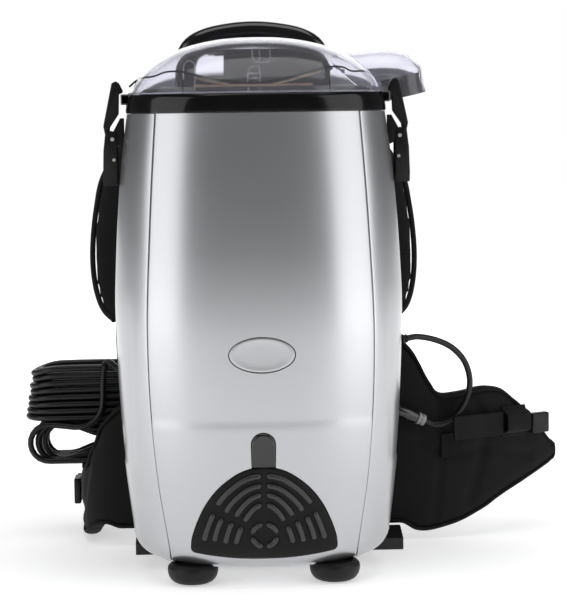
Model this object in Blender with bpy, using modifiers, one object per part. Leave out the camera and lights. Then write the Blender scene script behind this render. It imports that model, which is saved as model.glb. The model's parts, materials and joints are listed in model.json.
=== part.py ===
"""Backpack vacuum cleaner with its harness, standing upright on its two front feet and the harness foot.

Units are metres. +Z is up, -Y is the side with the exhaust grille, +X is the side with the hose inlet.
The origin is on the floor, on the centre plane, in the underside of the harness frame's foot.
"""

import math

import bmesh
import bpy
from mathutils import Matrix, Vector

NAME = "backpack_vacuum"

# ---- driving dimensions -------------------------------------------------------------------------
GAP = 0.0003                # air between two pieces that touch
WALL = 0.003                # moulded casing wall
RIM_Z = 0.460               # top edge of the casing, where the lid sits
FLOOR_Z = 0.020             # underside of the casing
SPLIT_Y = -0.110            # joint plane between the front and the rear casing halves
FRONT_POWER = 2.4           # superellipse power of the front half in plan
REAR_POWER = 4.0            # the rear half is squarer
# casing sections: height, half width, depth in front of the joint plane
SECTIONS = [
    (0.046, 0.1290, 0.101),
    (0.080, 0.1330, 0.105),
    (0.120, 0.1372, 0.109),
    (0.170, 0.1408, 0.111),
    (0.220, 0.1433, 0.112),
    (0.260, 0.1438, 0.112),
    (0.310, 0.1420, 0.110),
    (0.360, 0.1390, 0.106),
    (0.410, 0.1345, 0.101),
    (RIM_Z, 0.1280, 0.095),
]
REAR_DEPTH = 0.082          # rear half, the same at every height
FLOOR_ROUND = 0.026         # radius where the sides turn under the casing
SEAM_POINTS = [             # half width of the front panel against height
    (0.000, 0.0890), (0.030, 0.0915), (0.105, 0.1020), (0.177, 0.1080),
    (0.248, 0.1097), (0.350, 0.1056), (0.470, 0.0980),
]

LID_HEIGHT = 0.074
LID_WALL = 0.0026
LID_POWER = 2.2
RING_HEIGHT = 0.0175

INLET = Vector((0.147, -0.062, 0.497))   # centre of the elbow's knuckle
INLET_RADIUS = 0.0235
INLET_DROP = 0.024                       # knuckle centre to the mouth
INLET_TILT = math.radians(12)            # the mouth leans outwards
SLEEVE_BORE = 0.0180

GRILLE_BASE_Z = 0.033
GRILLE_OUTLINE = [          # right half, from the bottom corner up to the arch
    (0.064, 0.0345), (0.071, 0.041), (0.0695, 0.050), (0.0640, 0.067), (0.0555, 0.083), (0.0440, 0.099),
    (0.0290, 0.112), (0.0130, 0.120),
]
TAB_HALF_WIDTH = 0.0118
TAB_Z = (0.1206, 0.1535)
BADGE_CENTRE_Z = 0.2285
BADGE_RADII = (0.0318, 0.0168)

FOOT_X = 0.070
FOOT_Y = -0.170
FOOT_RADIUS = 0.025

LATCH_Y = -0.110
LATCH_PIVOT = (0.1425, 0.4353)           # distance from the centre plane, height
HOOK_PIVOT = (0.1412, 0.4150)
LATCH_HALF_WIDTHS = {"hook": 0.0050, "ear": 0.0088, "cheek": 0.0125}

MOTOR_XY = (0.0, -0.112)
FAN_RADIUS = 0.066
TRAY_Z = 0.237

SWITCH = Vector((0.1365, -0.075, 0.303))

FRAME_Y = (-0.014, -0.004)               # front and rear faces of the harness plate
BASE_Y = (-0.044, 0.025)                 # front and rear edges of the harness foot
BASE_X = (-0.131, 0.150)
BASE_THICKNESS = 0.012
PAD_Y = (-0.0036, 0.0215)

CORD_RADIUS = 0.00325
HANK_X = (-0.250, -0.012)
HANK_Y = (0.0452, 0.1050)
HANK_Z = (0.0820, 0.1900)
TIE_X = (-0.075, -0.050)

COLOURS = {
    "silver_paint": ((0.72, 0.73, 0.75), 0.30, 0.65),
    "black_casing": ((0.020, 0.020, 0.022), 0.45, 0.0),
    "black_gloss": ((0.010, 0.010, 0.011), 0.15, 0.0),
    "clear_lid": ((0.80, 0.83, 0.90), 0.05, 0.0),
    "black_rubber": ((0.015, 0.015, 0.015), 0.75, 0.0),
    "grille_black": ((0.018, 0.018, 0.019), 0.40, 0.0),
    "latch_black": ((0.012, 0.012, 0.013), 0.35, 0.0),
    "pin_steel": ((0.60, 0.60, 0.62), 0.25, 1.0),
    "bag_paper": ((0.62, 0.50, 0.36), 0.90, 0.0),
    "card": ((0.55, 0.38, 0.22), 0.85, 0.0),
    "filter_foam": ((0.10, 0.10, 0.11), 0.95, 0.0),
    "filter_paper": ((0.85, 0.85, 0.82), 0.90, 0.0),
    "motor_metal": ((0.55, 0.56, 0.58), 0.35, 1.0),
    "board_green": ((0.03, 0.16, 0.07), 0.50, 0.0),
    "harness_plastic": ((0.016, 0.016, 0.017), 0.50, 0.0),
    "padding": ((0.018, 0.018, 0.020), 0.92, 0.0),
    "webbing": ((0.014, 0.014, 0.015), 0.85, 0.0),
    "buckle_plastic": ((0.012, 0.012, 0.013), 0.38, 0.0),
    "cord_black": ((0.012, 0.012, 0.013), 0.30, 0.0),
    "collar_grey": ((0.34, 0.34, 0.35), 0.40, 0.0),
}


# ---- scene and collections ----------------------------------------------------------------------
def clear_scene():
    """Remove every object, so that the script can be run again in the same file."""
    for obj in list(bpy.data.objects):
        bpy.data.objects.remove(obj, do_unlink=True)


def collection(name):
    found = bpy.data.collections.get(name) or bpy.data.collections.new(name)
    if name not in bpy.context.scene.collection.children:
        bpy.context.scene.collection.children.link(found)
    return found


def material(name):
    colour, roughness, metallic = COLOURS[name]
    made = bpy.data.materials.get(name) or bpy.data.materials.new(name)
    made.use_nodes = True
    shader = made.node_tree.nodes["Principled BSDF"]
    shader.inputs["Base Color"].default_value = (*colour, 1.0)
    shader.inputs["Roughness"].default_value = roughness
    shader.inputs["Metallic"].default_value = metallic
    return made


def part(name, data, finish, at=(0, 0, 0)):
    """Link a mesh or a curve as a named part with its material."""
    obj = bpy.data.objects.new(name, data)
    obj.location = at
    data.materials.append(material(finish))
    PARTS.objects.link(obj)
    return obj


def cutter(name, data):
    obj = bpy.data.objects.new(name, data)
    obj.hide_render = True
    obj.display_type = "WIRE"
    CUTTERS.objects.link(obj)
    return obj


def boolean(obj, tool, operation="DIFFERENCE"):
    step = obj.modifiers.new(operation.lower(), "BOOLEAN")
    step.operation = operation
    step.solver = "EXACT"
    step.object = tool


def bevel(obj, width, segments=2, angle=35):
    step = obj.modifiers.new("edges", "BEVEL")
    step.width = width
    step.segments = segments
    step.limit_method = "ANGLE"
    step.angle_limit = math.radians(angle)


# ---- mesh helpers -------------------------------------------------------------------------------
def mesh_from(name, bm):
    bm.normal_update()
    bmesh.ops.recalc_face_normals(bm, faces=bm.faces)
    mesh = bpy.data.meshes.new(name)
    bm.to_mesh(mesh)
    bm.free()
    return mesh


def smooth(mesh, angle=35):
    mesh.shade_smooth()
    mesh.set_sharp_from_angle(angle=math.radians(angle))
    return mesh


def loft(name, rings, closed=True, caps=True):
    """Skin a list of rings with the same number of points each."""
    bm = bmesh.new()
    rows = [[bm.verts.new(point) for point in ring] for ring in rings]
    count = len(rings[0])
    spans = count if closed else count - 1
    for low, high in zip(rows, rows[1:]):
        for i in range(spans):
            j = (i + 1) % count
            bm.faces.new((low[i], low[j], high[j], high[i]))
    if caps:
        bm.faces.new(rows[0])
        bm.faces.new(rows[-1])
    return mesh_from(name, bm)


def box_mesh(name, low, high):
    bm = bmesh.new()
    bmesh.ops.create_cube(bm, size=1.0)
    low, high = Vector(low), Vector(high)
    size = high - low
    bmesh.ops.scale(bm, vec=size, verts=bm.verts)
    bmesh.ops.translate(bm, vec=(low + high) / 2, verts=bm.verts)
    return mesh_from(name, bm)


def cylinder_mesh(name, start, end, radius, end_radius=None, segments=24):
    """A cylinder or a cone between two points."""
    bm = bmesh.new()
    start, end = Vector(start), Vector(end)
    axis = end - start
    bmesh.ops.create_cone(
        bm, cap_ends=True, segments=segments, radius1=radius,
        radius2=radius if end_radius is None else end_radius, depth=axis.length,
    )
    turn = Vector((0, 0, 1)).rotation_difference(axis).to_matrix().to_4x4()
    bmesh.ops.transform(bm, matrix=Matrix.Translation((start + end) / 2) @ turn, verts=bm.verts)
    return mesh_from(name, bm)


def prism_mesh(name, outline, low, high, axis="Y"):
    """Extrude a flat outline. Axis Y takes (x, z) points, axis Z takes (x, y) points."""
    curve = bpy.data.curves.new(name + "_outline", "CURVE")
    curve.dimensions = "2D"
    curve.fill_mode = "BOTH"
    curve.extrude = (high - low) / 2
    spline = curve.splines.new("POLY")
    spline.points.add(len(outline) - 1)
    for point, (u, v) in zip(spline.points, outline):
        point.co = (u, v, 0, 1)
    spline.use_cyclic_u = True
    holder = bpy.data.objects.new(name + "_outline", curve)
    PARTS.objects.link(holder)
    bpy.context.view_layer.update()
    graph = bpy.context.evaluated_depsgraph_get()
    mesh = bpy.data.meshes.new_from_object(holder.evaluated_get(graph))
    bpy.data.objects.remove(holder)
    bpy.data.curves.remove(curve)
    bm = bmesh.new()
    bm.from_mesh(mesh)
    bpy.data.meshes.remove(mesh)
    bmesh.ops.remove_doubles(bm, verts=bm.verts, dist=0.00001)
    middle = (low + high) / 2
    if axis == "Y":
        turn = Matrix.Rotation(math.radians(90), 4, "X")
        bmesh.ops.transform(bm, matrix=Matrix.Translation((0, middle, 0)) @ turn, verts=bm.verts)
    else:
        bmesh.ops.translate(bm, vec=(0, 0, middle), verts=bm.verts)
    return mesh_from(name, bm)


def turned(name, profile, finish, at, steps=24):
    """Revolve a closed (radius, height) profile, given top to bottom on its outer side, about Z."""
    mesh = bpy.data.meshes.new(name)
    count = len(profile)
    edges = [(i, i + 1) for i in range(count - 1)]
    if profile[0][0] > 0:
        edges.append((count - 1, 0))
    mesh.from_pydata([(r, 0, z) for r, z in profile], edges, [])
    obj = part(name, mesh, finish, at)
    screw = obj.modifiers.new("turn", "SCREW")
    screw.steps = steps
    screw.render_steps = steps
    screw.use_merge_vertices = True
    screw.merge_threshold = 0.00005
    screw.use_smooth_shade = True
    return obj


def smooth_path(points, per_span):
    """Points along a Catmull-Rom curve through the route's own points."""
    route = [Vector(p) for p in points]
    ends = [2 * route[0] - route[1]] + route + [2 * route[-1] - route[-2]]
    path = []
    for a, b, c, d in zip(ends, ends[1:], ends[2:], ends[3:]):
        for i in range(per_span):
            t = i / per_span
            path.append(0.5 * (
                2 * b + (c - a) * t + (2 * a - 5 * b + 4 * c - d) * t ** 2 + (3 * b - a - 3 * c + d) * t ** 3
            ))
    return path + [route[-1]]


def even_path(points, spacing):
    """Resample the smooth curve so that its points stand about one spacing apart."""
    dense = smooth_path(points, per_span=24)
    lengths = [0.0]
    for a, b in zip(dense, dense[1:]):
        lengths.append(lengths[-1] + (b - a).length)
    count = max(2, round(lengths[-1] / spacing))
    path = []
    k = 0
    for i in range(count + 1):
        target = lengths[-1] * i / count
        while k < len(lengths) - 2 and lengths[k + 1] < target:
            k += 1
        share = (target - lengths[k]) / (lengths[k + 1] - lengths[k])
        path.append(dense[k].lerp(dense[k + 1], min(share, 1.0)))
    return path


def tube(name, points, radius, finish, sides=2):
    curve = bpy.data.curves.new(name, "CURVE")
    curve.dimensions = "3D"
    curve.bevel_depth = radius
    curve.bevel_resolution = sides
    curve.use_fill_caps = True
    spline = curve.splines.new("POLY")
    spline.points.add(len(points) - 1)
    for target, point in zip(spline.points, points):
        target.co = (*point, 1)
    return part(name, curve, finish)


def ribbon(name, stations, finish, thickness, levels=1):
    """A soft strap: each station holds a centre, a width direction and a width."""
    rings = []
    centres = [Vector(s[0]) for s in stations]
    for i, (centre, side, width) in enumerate(stations):
        ahead = centres[min(i + 1, len(centres) - 1)] - centres[max(i - 1, 0)]
        side = Vector(side).normalized()
        up = ahead.cross(side).normalized()
        side = up.cross(ahead).normalized()
        half, thick = side * width / 2, up * thickness / 2
        c = Vector(centre)
        rings.append([c + half - thick, c + half + thick, c + thick, c - half + thick, c - half - thick,
                      c - thick])
    obj = part(name, loft(name, rings), finish)
    soft = obj.modifiers.new("soft", "SUBSURF")
    soft.levels = levels
    soft.render_levels = levels
    return obj


def panel(name, stations, finish, thickness):
    """An upright padded panel: each station holds x, y, its lowest and its highest point."""
    rings = []
    for i, (x, y, low, high) in enumerate(stations):
        before, after = stations[max(i - 1, 0)], stations[min(i + 1, len(stations) - 1)]
        along = Vector((after[0] - before[0], after[1] - before[1], 0)).normalized()
        out = Vector((-along.y, along.x, 0)) * thickness / 2
        edge = min(thickness / 2, (high - low) / 4)
        c = Vector((x, y, 0))
        rings.append([
            c - out + Vector((0, 0, low + edge)), c - out * 0.45 + Vector((0, 0, low)),
            c + out * 0.45 + Vector((0, 0, low)), c + out + Vector((0, 0, low + edge)),
            c + out + Vector((0, 0, high - edge)), c + out * 0.45 + Vector((0, 0, high)),
            c - out * 0.45 + Vector((0, 0, high)), c - out + Vector((0, 0, high - edge)),
        ])
    return part(name, loft(name, rings), finish)


def interpolate(table, z):
    """Straight-line reading of a table whose first column is height."""
    if z <= table[0][0]:
        return table[0][1:]
    for low, high in zip(table, table[1:]):
        if z <= high[0]:
            t = (z - low[0]) / (high[0] - low[0])
            return tuple(a + (b - a) * t for a, b in zip(low[1:], high[1:]))
    return table[-1][1:]


def arc(half_width, depth, power, segments, sign):
    """Half of a superellipse, from the +X end to the -X end."""
    points = []
    for i in range(segments + 1):
        t = math.pi * i / segments
        c, s = math.cos(t), math.sin(t)
        x = half_width * math.copysign(abs(c) ** (2 / power), c)
        y = sign * depth * abs(s) ** (2 / power)
        points.append((x, y))
    return points


# ---- casing -------------------------------------------------------------------------------------
def casing_sections():
    """Heights with half width and front depth, with the rounded turn under the casing first."""
    low_z, low_half, low_depth = SECTIONS[0]
    rows = []
    for degrees in (90, 60, 30):
        inset = FLOOR_ROUND * (1 - math.cos(math.radians(degrees)))
        drop = FLOOR_ROUND * math.sin(math.radians(degrees))
        rows.append((low_z - drop, low_half - inset, low_depth - inset, inset))
    return rows + [(z, half, depth, 0.0) for z, half, depth in SECTIONS]


def half_shell(name, front, segments):
    """Open surface of one casing half with its floor, from the centre of the floor up to the rim."""
    power = FRONT_POWER if front else REAR_POWER
    sign = -1 if front else 1
    join = SPLIT_Y if front else SPLIT_Y + GAP
    rows = casing_sections()
    bm = bmesh.new()
    grid = []
    for z, half, depth, inset in rows:
        reach = depth if front else REAR_DEPTH - inset
        ring = [bm.verts.new((x, join + y, z)) for x, y in arc(half, reach, power, segments, sign)]
        grid.append(ring)
    floor = [grid[0]]
    for share in (0.6, 0.25):
        floor.append([bm.verts.new((v.co.x * share, join + (v.co.y - join) * share,
                                    v.co.z)) for v in grid[0]])
    for rings in (floor, grid):
        for low, high in zip(rings, rings[1:]):
            for i in range(segments):
                bm.faces.new((low[i], low[i + 1], high[i + 1], high[i]))
    centre = bm.verts.new((0, join, rows[0][0]))
    last = floor[-1]
    for i in range(segments):
        bm.faces.new((last[i], last[i + 1], centre))
    mesh = mesh_from(name, bm)
    outward = Vector((0, sign, 0))
    middle = min(mesh.polygons, key=lambda f: (f.center - Vector((0, join + sign * 0.11, 0.25))).length)
    if middle.normal.dot(outward) < 0:
        mesh.flip_normals()
    return mesh


def solidify(obj, thickness=WALL):
    step = obj.modifiers.new("wall", "SOLIDIFY")
    step.thickness = thickness
    step.offset = -1.0
    step.use_even_offset = True


def seam_outline(grow):
    right = [(half + grow, z) for z, half in SEAM_POINTS]
    return right + [(-x, z) for x, z in reversed(right)]


def grille_outline(grow):
    right = [(x + grow, z + (grow if i > 3 else 0)) for i, (x, z) in enumerate(GRILLE_OUTLINE)]
    right[0] = (right[0][0], right[0][1] - grow)
    right[-1] = (right[-1][0], right[-1][1] + grow)
    bottom = [(0.0, GRILLE_BASE_Z - 0.0015 - grow)]
    return bottom + right + [(-x, z) for x, z in reversed(right)]


def tab_outline(grow):
    """Upright tab with a round top."""
    low, high = TAB_Z
    radius = TAB_HALF_WIDTH + grow
    points = [(radius, low - grow)]
    for i in range(9):
        t = math.pi * i / 8
        points.append((radius * math.cos(t), high - TAB_HALF_WIDTH + radius * math.sin(t)))
    return points + [(-radius, low - grow)]


def badge_outline(grow, count=28):
    return [
        (
            (BADGE_RADII[0] + grow) * math.cos(2 * math.pi * i / count),
            BADGE_CENTRE_Z + (BADGE_RADII[1] + grow) * math.sin(2 * math.pi * i / count),
        )
        for i in range(count)
    ]


def front_prism(name, outline, low=-0.235, high=-0.170):
    return cutter(name, prism_mesh(name, outline, low, high))


def make_front_casing():
    """The silver body shell with its sides and floor, and the front panel that drops in between."""
    panel_tool = front_prism("seam_panel", seam_outline(0), high=SPLIT_Y - 0.02)
    opening_tool = front_prism("seam_opening", seam_outline(GAP), high=SPLIT_Y - 0.02)
    grille_tool = front_prism("grille_opening", grille_outline(0.0006))
    tab_tool = front_prism("tab_opening", tab_outline(0.0006))
    badge_tool = front_prism("badge_opening", badge_outline(GAP))

    body = part("body_shell", smooth(half_shell("body_shell", True, 32)), "silver_paint")
    solidify(body)
    boolean(body, opening_tool)

    front = part("front_panel", smooth(half_shell("front_panel", True, 32)), "silver_paint")
    solidify(front)
    boolean(front, panel_tool, "INTERSECT")
    for tool in (grille_tool, tab_tool, badge_tool):
        boolean(front, tool)

    badge = part("oval_badge", smooth(half_shell("oval_badge", True, 32)), "silver_paint")
    solidify(badge)
    boolean(badge, front_prism("badge_plate", badge_outline(-GAP)), "INTERSECT")


def make_rear_casing():
    rear = part("rear_shell", smooth(half_shell("rear_shell", False, 20)), "black_casing")
    solidify(rear)
    reach = Vector((0.016, 0.0124, 0.0174))
    hole = box_mesh("switch_hole", SWITCH - reach, SWITCH + reach)
    boolean(rear, cutter("switch_hole", hole))
    start, direction = gland_axis()
    bore = cylinder_mesh("gland_hole", start - direction * 0.03, start + direction * 0.03, 0.0085)
    boolean(rear, cutter("gland_hole", bore))


def make_feet():
    """Rubber feet with a flat contact ring under the front of the casing."""
    profile = [
        (0.0, FLOOR_Z - GAP), (0.020, FLOOR_Z - GAP), (FOOT_RADIUS, 0.014), (FOOT_RADIUS * 0.97, 0.0075),
        (FOOT_RADIUS * 0.84, 0.0028), (FOOT_RADIUS * 0.60, 0.0), (0.0, 0.0),
    ]
    for side, x in (("left", -FOOT_X), ("right", FOOT_X)):
        turned("foot_" + side, profile, "black_rubber", (x, FOOT_Y, 0))


def gland_axis():
    return Vector((0.1235, -0.0460, 0.2190)), Vector((0.955, 0.28, 0.10)).normalized()


# ---- exhaust grille -----------------------------------------------------------------------------
def make_grille():
    """The louvred exhaust door, its thumb catch and the filter behind it."""
    door = part("exhaust_grille", smooth(half_shell("exhaust_grille", True, 32)), "grille_black")
    solidify(door, WALL)
    boolean(door, front_prism("grille_plate", grille_outline(-GAP)), "INTERSECT")
    for side in (-1, 1):
        for row in range(4):
            boolean(door, cutter(f"louvre_{side}_{row}", louvre_mesh(side, row)))
    catch = part("grille_tab", smooth(half_shell("grille_tab", True, 32)), "black_gloss")
    solidify(catch, WALL)
    boolean(catch, front_prism("tab_plate", tab_outline(-GAP)), "INTERSECT")
    low = (-0.058, -0.190, 0.034)
    high = (0.058, -0.168, 0.108)
    part("exhaust_filter", box_mesh("exhaust_filter", low, high), "filter_paper")


def louvre_mesh(side, row):
    """One slanting slot of the grille, cut right through."""
    inner = 0.006
    rise = 0.110 - 0.0105 * row
    drop = rise - 0.030
    outer = 0.041 - 0.0075 * row
    width = 0.0032
    points = [
        (side * inner, rise), (side * outer, drop), (side * outer, drop - width * 1.2),
        (side * inner, rise - width),
    ]
    if side > 0:
        points.reverse()
    return prism_mesh(f"louvre_{side}_{row}", points, -0.235, -0.180)


# ---- lid ----------------------------------------------------------------------------------------
def lid_rings(wall, base, count=20):
    """Rings of the lid dome: sides first, then the crown."""
    _, rim_half, rim_depth = SECTIONS[-1]
    height = LID_HEIGHT - wall
    rings = []
    for share in (0.0, 0.20, 0.42, 0.62, 0.78, 0.90, 0.97):
        scale = (1 - share ** LID_POWER) ** (1 / LID_POWER)
        half = (rim_half - wall) * scale
        front = (rim_depth - wall) * scale
        back = (REAR_DEPTH - wall) * scale
        z = RIM_Z + GAP + share * height if share else base
        ahead = arc(half, front, FRONT_POWER, count, -1)
        behind = arc(half, back, REAR_POWER, count, 1)
        ring = [(x, SPLIT_Y + y, z) for x, y in ahead]
        ring += [(x, SPLIT_Y + y, z) for x, y in reversed(behind[1:-1])]
        rings.append(ring)
    return rings, RIM_Z + GAP + height


def dome(name, wall, base):
    rings, top = lid_rings(wall, base)
    bm = bmesh.new()
    rows = [[bm.verts.new(p) for p in ring] for ring in rings]
    count = len(rows[0])
    for low, high in zip(rows, rows[1:]):
        for i in range(count):
            j = (i + 1) % count
            bm.faces.new((low[i], low[j], high[j], high[i]))
    crown = bm.verts.new((0, SPLIT_Y, top))
    for i in range(count):
        bm.faces.new((rows[-1][i], rows[-1][(i + 1) % count], crown))
    bm.faces.new(rows[0])
    return mesh_from(name, bm)


def inlet_direction():
    return Vector((math.sin(INLET_TILT), 0, -math.cos(INLET_TILT)))


def make_lid():
    """Clear dome with the elbow of the hose inlet on its right-hand side."""
    lid = part("lid", smooth(dome("lid", 0.0, RIM_Z + GAP), 50), "clear_lid")
    start = Vector((0.070, -0.075, 0.494))
    mouth = INLET + inlet_direction() * INLET_DROP
    pieces = []
    for tag, inset, reach in (("outer", 0.0, 0.0), ("inner", LID_WALL, 0.004)):
        radius = INLET_RADIUS - inset
        base = start if tag == "outer" else start - Vector((0.030, 0, 0))
        pieces.append((
            cutter("duct_" + tag, cylinder_mesh("duct_" + tag, base, INLET, radius * 0.98, radius * 0.96)),
            cutter("knuckle_" + tag, sphere_mesh("knuckle_" + tag, INLET, radius)),
            cutter("spout_" + tag, cylinder_mesh(
                "spout_" + tag, INLET, mouth + inlet_direction() * reach, radius * 0.985, radius * 1.01)),
        ))
    for tool in pieces[0]:
        boolean(lid, tool, "UNION")
    boolean(lid, cutter("lid_hollow", dome("lid_hollow", LID_WALL, RIM_Z - 0.01)))
    for tool in pieces[1]:
        boolean(lid, tool)
    make_sleeve(mouth)


def sphere_mesh(name, centre, radius):
    bm = bmesh.new()
    bmesh.ops.create_uvsphere(bm, u_segments=24, v_segments=12, radius=radius)
    bmesh.ops.translate(bm, vec=centre, verts=bm.verts)
    return mesh_from(name, bm)


def make_sleeve(mouth):
    """Black sleeve in the inlet's mouth, which grips the hose cuff."""
    outer = (INLET_RADIUS - LID_WALL) * 0.985 - GAP
    length = 0.021
    profile = [(outer, 0.0), (outer, -length), (SLEEVE_BORE, -length), (SLEEVE_BORE, 0.0)]
    sleeve = turned("inlet_sleeve", profile, "black_rubber", mouth - inlet_direction() * length)
    sleeve.rotation_euler = (0, -INLET_TILT, 0)


def make_rim_ring():
    """Black neck ring of the dust canister, seen through the lid's skirt."""
    _, rim_half, rim_depth = SECTIONS[-1]
    rings = []
    low, high = RIM_Z - 0.010, RIM_Z + RING_HEIGHT
    outer = LID_WALL + 0.0012
    inner = outer + 0.0070
    for inset, z in ((outer, low), (outer, RIM_Z), (outer + 0.0024, high), (inner, high), (inner, low)):
        ahead = arc(rim_half - inset, rim_depth - inset, FRONT_POWER, 20, -1)
        behind = arc(rim_half - inset, REAR_DEPTH - inset, REAR_POWER, 20, 1)
        ring = [(x, SPLIT_Y + y, z) for x, y in ahead]
        rings.append(ring + [(x, SPLIT_Y + y, z) for x, y in reversed(behind[1:-1])])
    bm = bmesh.new()
    rows = [[bm.verts.new(p) for p in ring] for ring in rings]
    count = len(rows[0])
    for a, b in zip(rows, rows[1:] + rows[:1]):
        for i in range(count):
            j = (i + 1) % count
            bm.faces.new((a[i], a[j], b[j], b[i]))
    part("rim_ring", mesh_from("rim_ring", bm), "black_gloss")


# ---- inside -------------------------------------------------------------------------------------
def make_dust_bag():
    """Paper dust bag, a soft closed form that fills the canister, with its card collar on top."""
    rings = []
    for z, share in ((0.258, 0.55), (0.272, 0.86), (0.310, 0.95), (0.400, 0.95), (0.455, 0.93), (0.476, 0.90),
                     (0.484, 0.70)):
        half = 0.112 * share
        ring = [(x, SPLIT_Y - 0.004 + y, z) for x, y in arc(half, 0.080 * share, 2.4, 12, -1)]
        ring += [(x, SPLIT_Y - 0.004 + y, z) for x, y in reversed(arc(half, 0.062 * share, 2.8, 12, 1)[1:-1])]
        rings.append(ring)
    part("dust_bag", loft("dust_bag", rings), "bag_paper")
    collar = part("bag_collar",
                  box_mesh("bag_collar", (-0.060, -0.150, 0.4845), (0.055, -0.072, 0.4875)), "card")
    boolean(collar,
            cutter("collar_hole", cylinder_mesh("collar_hole", (0, SPLIT_Y, 0.48), (0, SPLIT_Y, 0.495),
                                                        0.019)))


def make_filter_tray():
    """Deck between the dust canister and the motor bay, with the pre-motor filter on it."""
    half, depth = interpolate(SECTIONS, TRAY_Z)
    inset = WALL + 0.0012
    outline = [(x, SPLIT_Y + y) for x, y in arc(half - inset, depth - inset, FRONT_POWER, 20, -1)]
    outline += [(x, SPLIT_Y + y) for x, y in
                reversed(arc(half - inset, REAR_DEPTH - inset, REAR_POWER, 20, 1)[1:-1])]
    tray = part("filter_tray", prism_mesh("filter_tray", outline, TRAY_Z - 0.002, TRAY_Z + 0.002, "Z"),
                "black_casing")
    x, y = MOTOR_XY
    boolean(tray, cutter("tray_hole", cylinder_mesh("tray_hole", (x, y, TRAY_Z - 0.01), (x, y, TRAY_Z + 0.01),
                                                    0.040)))
    turned("motor_filter", [(0.0, 0.014), (0.052, 0.014), (0.052, 0.0), (0.0, 0.0)], "filter_foam",
           (x, y, TRAY_Z + 0.002 + GAP))


def make_motor():
    """Suction motor: fan can on top, motor case below, shaft and impeller inside, rubber mounts."""
    at = (*MOTOR_XY, 0.0)
    top = TRAY_Z - 0.002 - GAP
    turned("motor_seal", [(0.060, top), (0.060, top - 0.010), (0.042, top - 0.010), (0.042, top)],
           "black_rubber", at)
    can_top = top - 0.010 - GAP
    turned("fan_housing", [
        (FAN_RADIUS, can_top), (FAN_RADIUS, can_top - 0.042), (0.046, can_top - 0.042),
        (0.046, can_top - 0.0405),
        (FAN_RADIUS - 0.0015, can_top - 0.0405), (FAN_RADIUS - 0.0015, can_top - 0.0015),
        (0.024, can_top - 0.0015), (0.024, can_top),
    ], "motor_metal", at)
    turned("fan_impeller", [
        (0.022, can_top - 0.006), (0.060, can_top - 0.010), (0.060, can_top - 0.030),
        (0.0044, can_top - 0.034),
        (0.0044, can_top - 0.022), (0.018, can_top - 0.022),
    ], "motor_metal", at)
    shaft_low = can_top - 0.104
    turned("motor_shaft",
           [(0.0, can_top - 0.014), (0.0040, can_top - 0.014), (0.0040, shaft_low), (0.0, shaft_low)],
           "pin_steel", at, 16)
    case_top, case_low = can_top - 0.0432, can_top - 0.108
    turned("motor_case", [
        (0.0445, case_top), (0.0445, case_low + 0.012), (0.030, case_low), (0.0052, case_low),
        (0.0052, case_top),
    ], "motor_metal", at)
    post_top = case_low - GAP
    turned("motor_mount",
           [(0.0, post_top), (0.026, post_top), (0.034, FLOOR_Z + 0.012), (0.034, FLOOR_Z + WALL + 0.001),
                           (0.0, FLOOR_Z + WALL + 0.001)], "black_rubber", at)


def make_electrics():
    """Suppressor board beside the motor, and the rocker switch in the casing's right side."""
    part("control_board", box_mesh("control_board", (-0.108, -0.140, 0.060), (-0.104, -0.075, 0.150)),
         "board_green")
    low = SWITCH + Vector((-0.0085, -0.0120, -0.0170))
    high = SWITCH + Vector((0.0045, 0.0120, 0.0170))
    bezel = part("switch_bezel", box_mesh("switch_bezel", low, high), "black_casing")
    boolean(bezel,
            cutter("rocker_pocket", box_mesh("rocker_pocket", SWITCH + Vector((-0.0060, -0.0082, -0.0140)),
                                                    SWITCH + Vector((0.0100, 0.0082, 0.0140)))))
    profile = [(0.0022, 0.0125), (0.0048, 0.0), (0.0060, -0.0122), (0.0010, -0.0128), (-0.0020, 0.0),
               (-0.0010, 0.0125)]
    outline = [(-z, x) for x, z in profile]
    mesh = prism_mesh("switch_rocker", outline, -0.0077, 0.0077)
    mesh.transform(Matrix.Rotation(math.radians(90), 4, "Y"))
    part("switch_rocker", mesh, "black_gloss", SWITCH)


# ---- latches ------------------------------------------------------------------------------------
def mirror_x(points, side):
    placed = [(side * x, z) for x, z in points]
    return placed if side > 0 else list(reversed(placed))


def latch_prism(name, points, side, half_width, pivot, finish):
    """Extrude a latch profile given in (distance from the centre plane, height), origin on its pivot."""
    shifted = [(x - side * pivot[0], z - pivot[1]) for x, z in mirror_x(points, side)]
    mesh = prism_mesh(name, shifted, -half_width, half_width)
    return part(name, mesh, finish, (side * pivot[0], LATCH_Y, pivot[1]))


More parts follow.
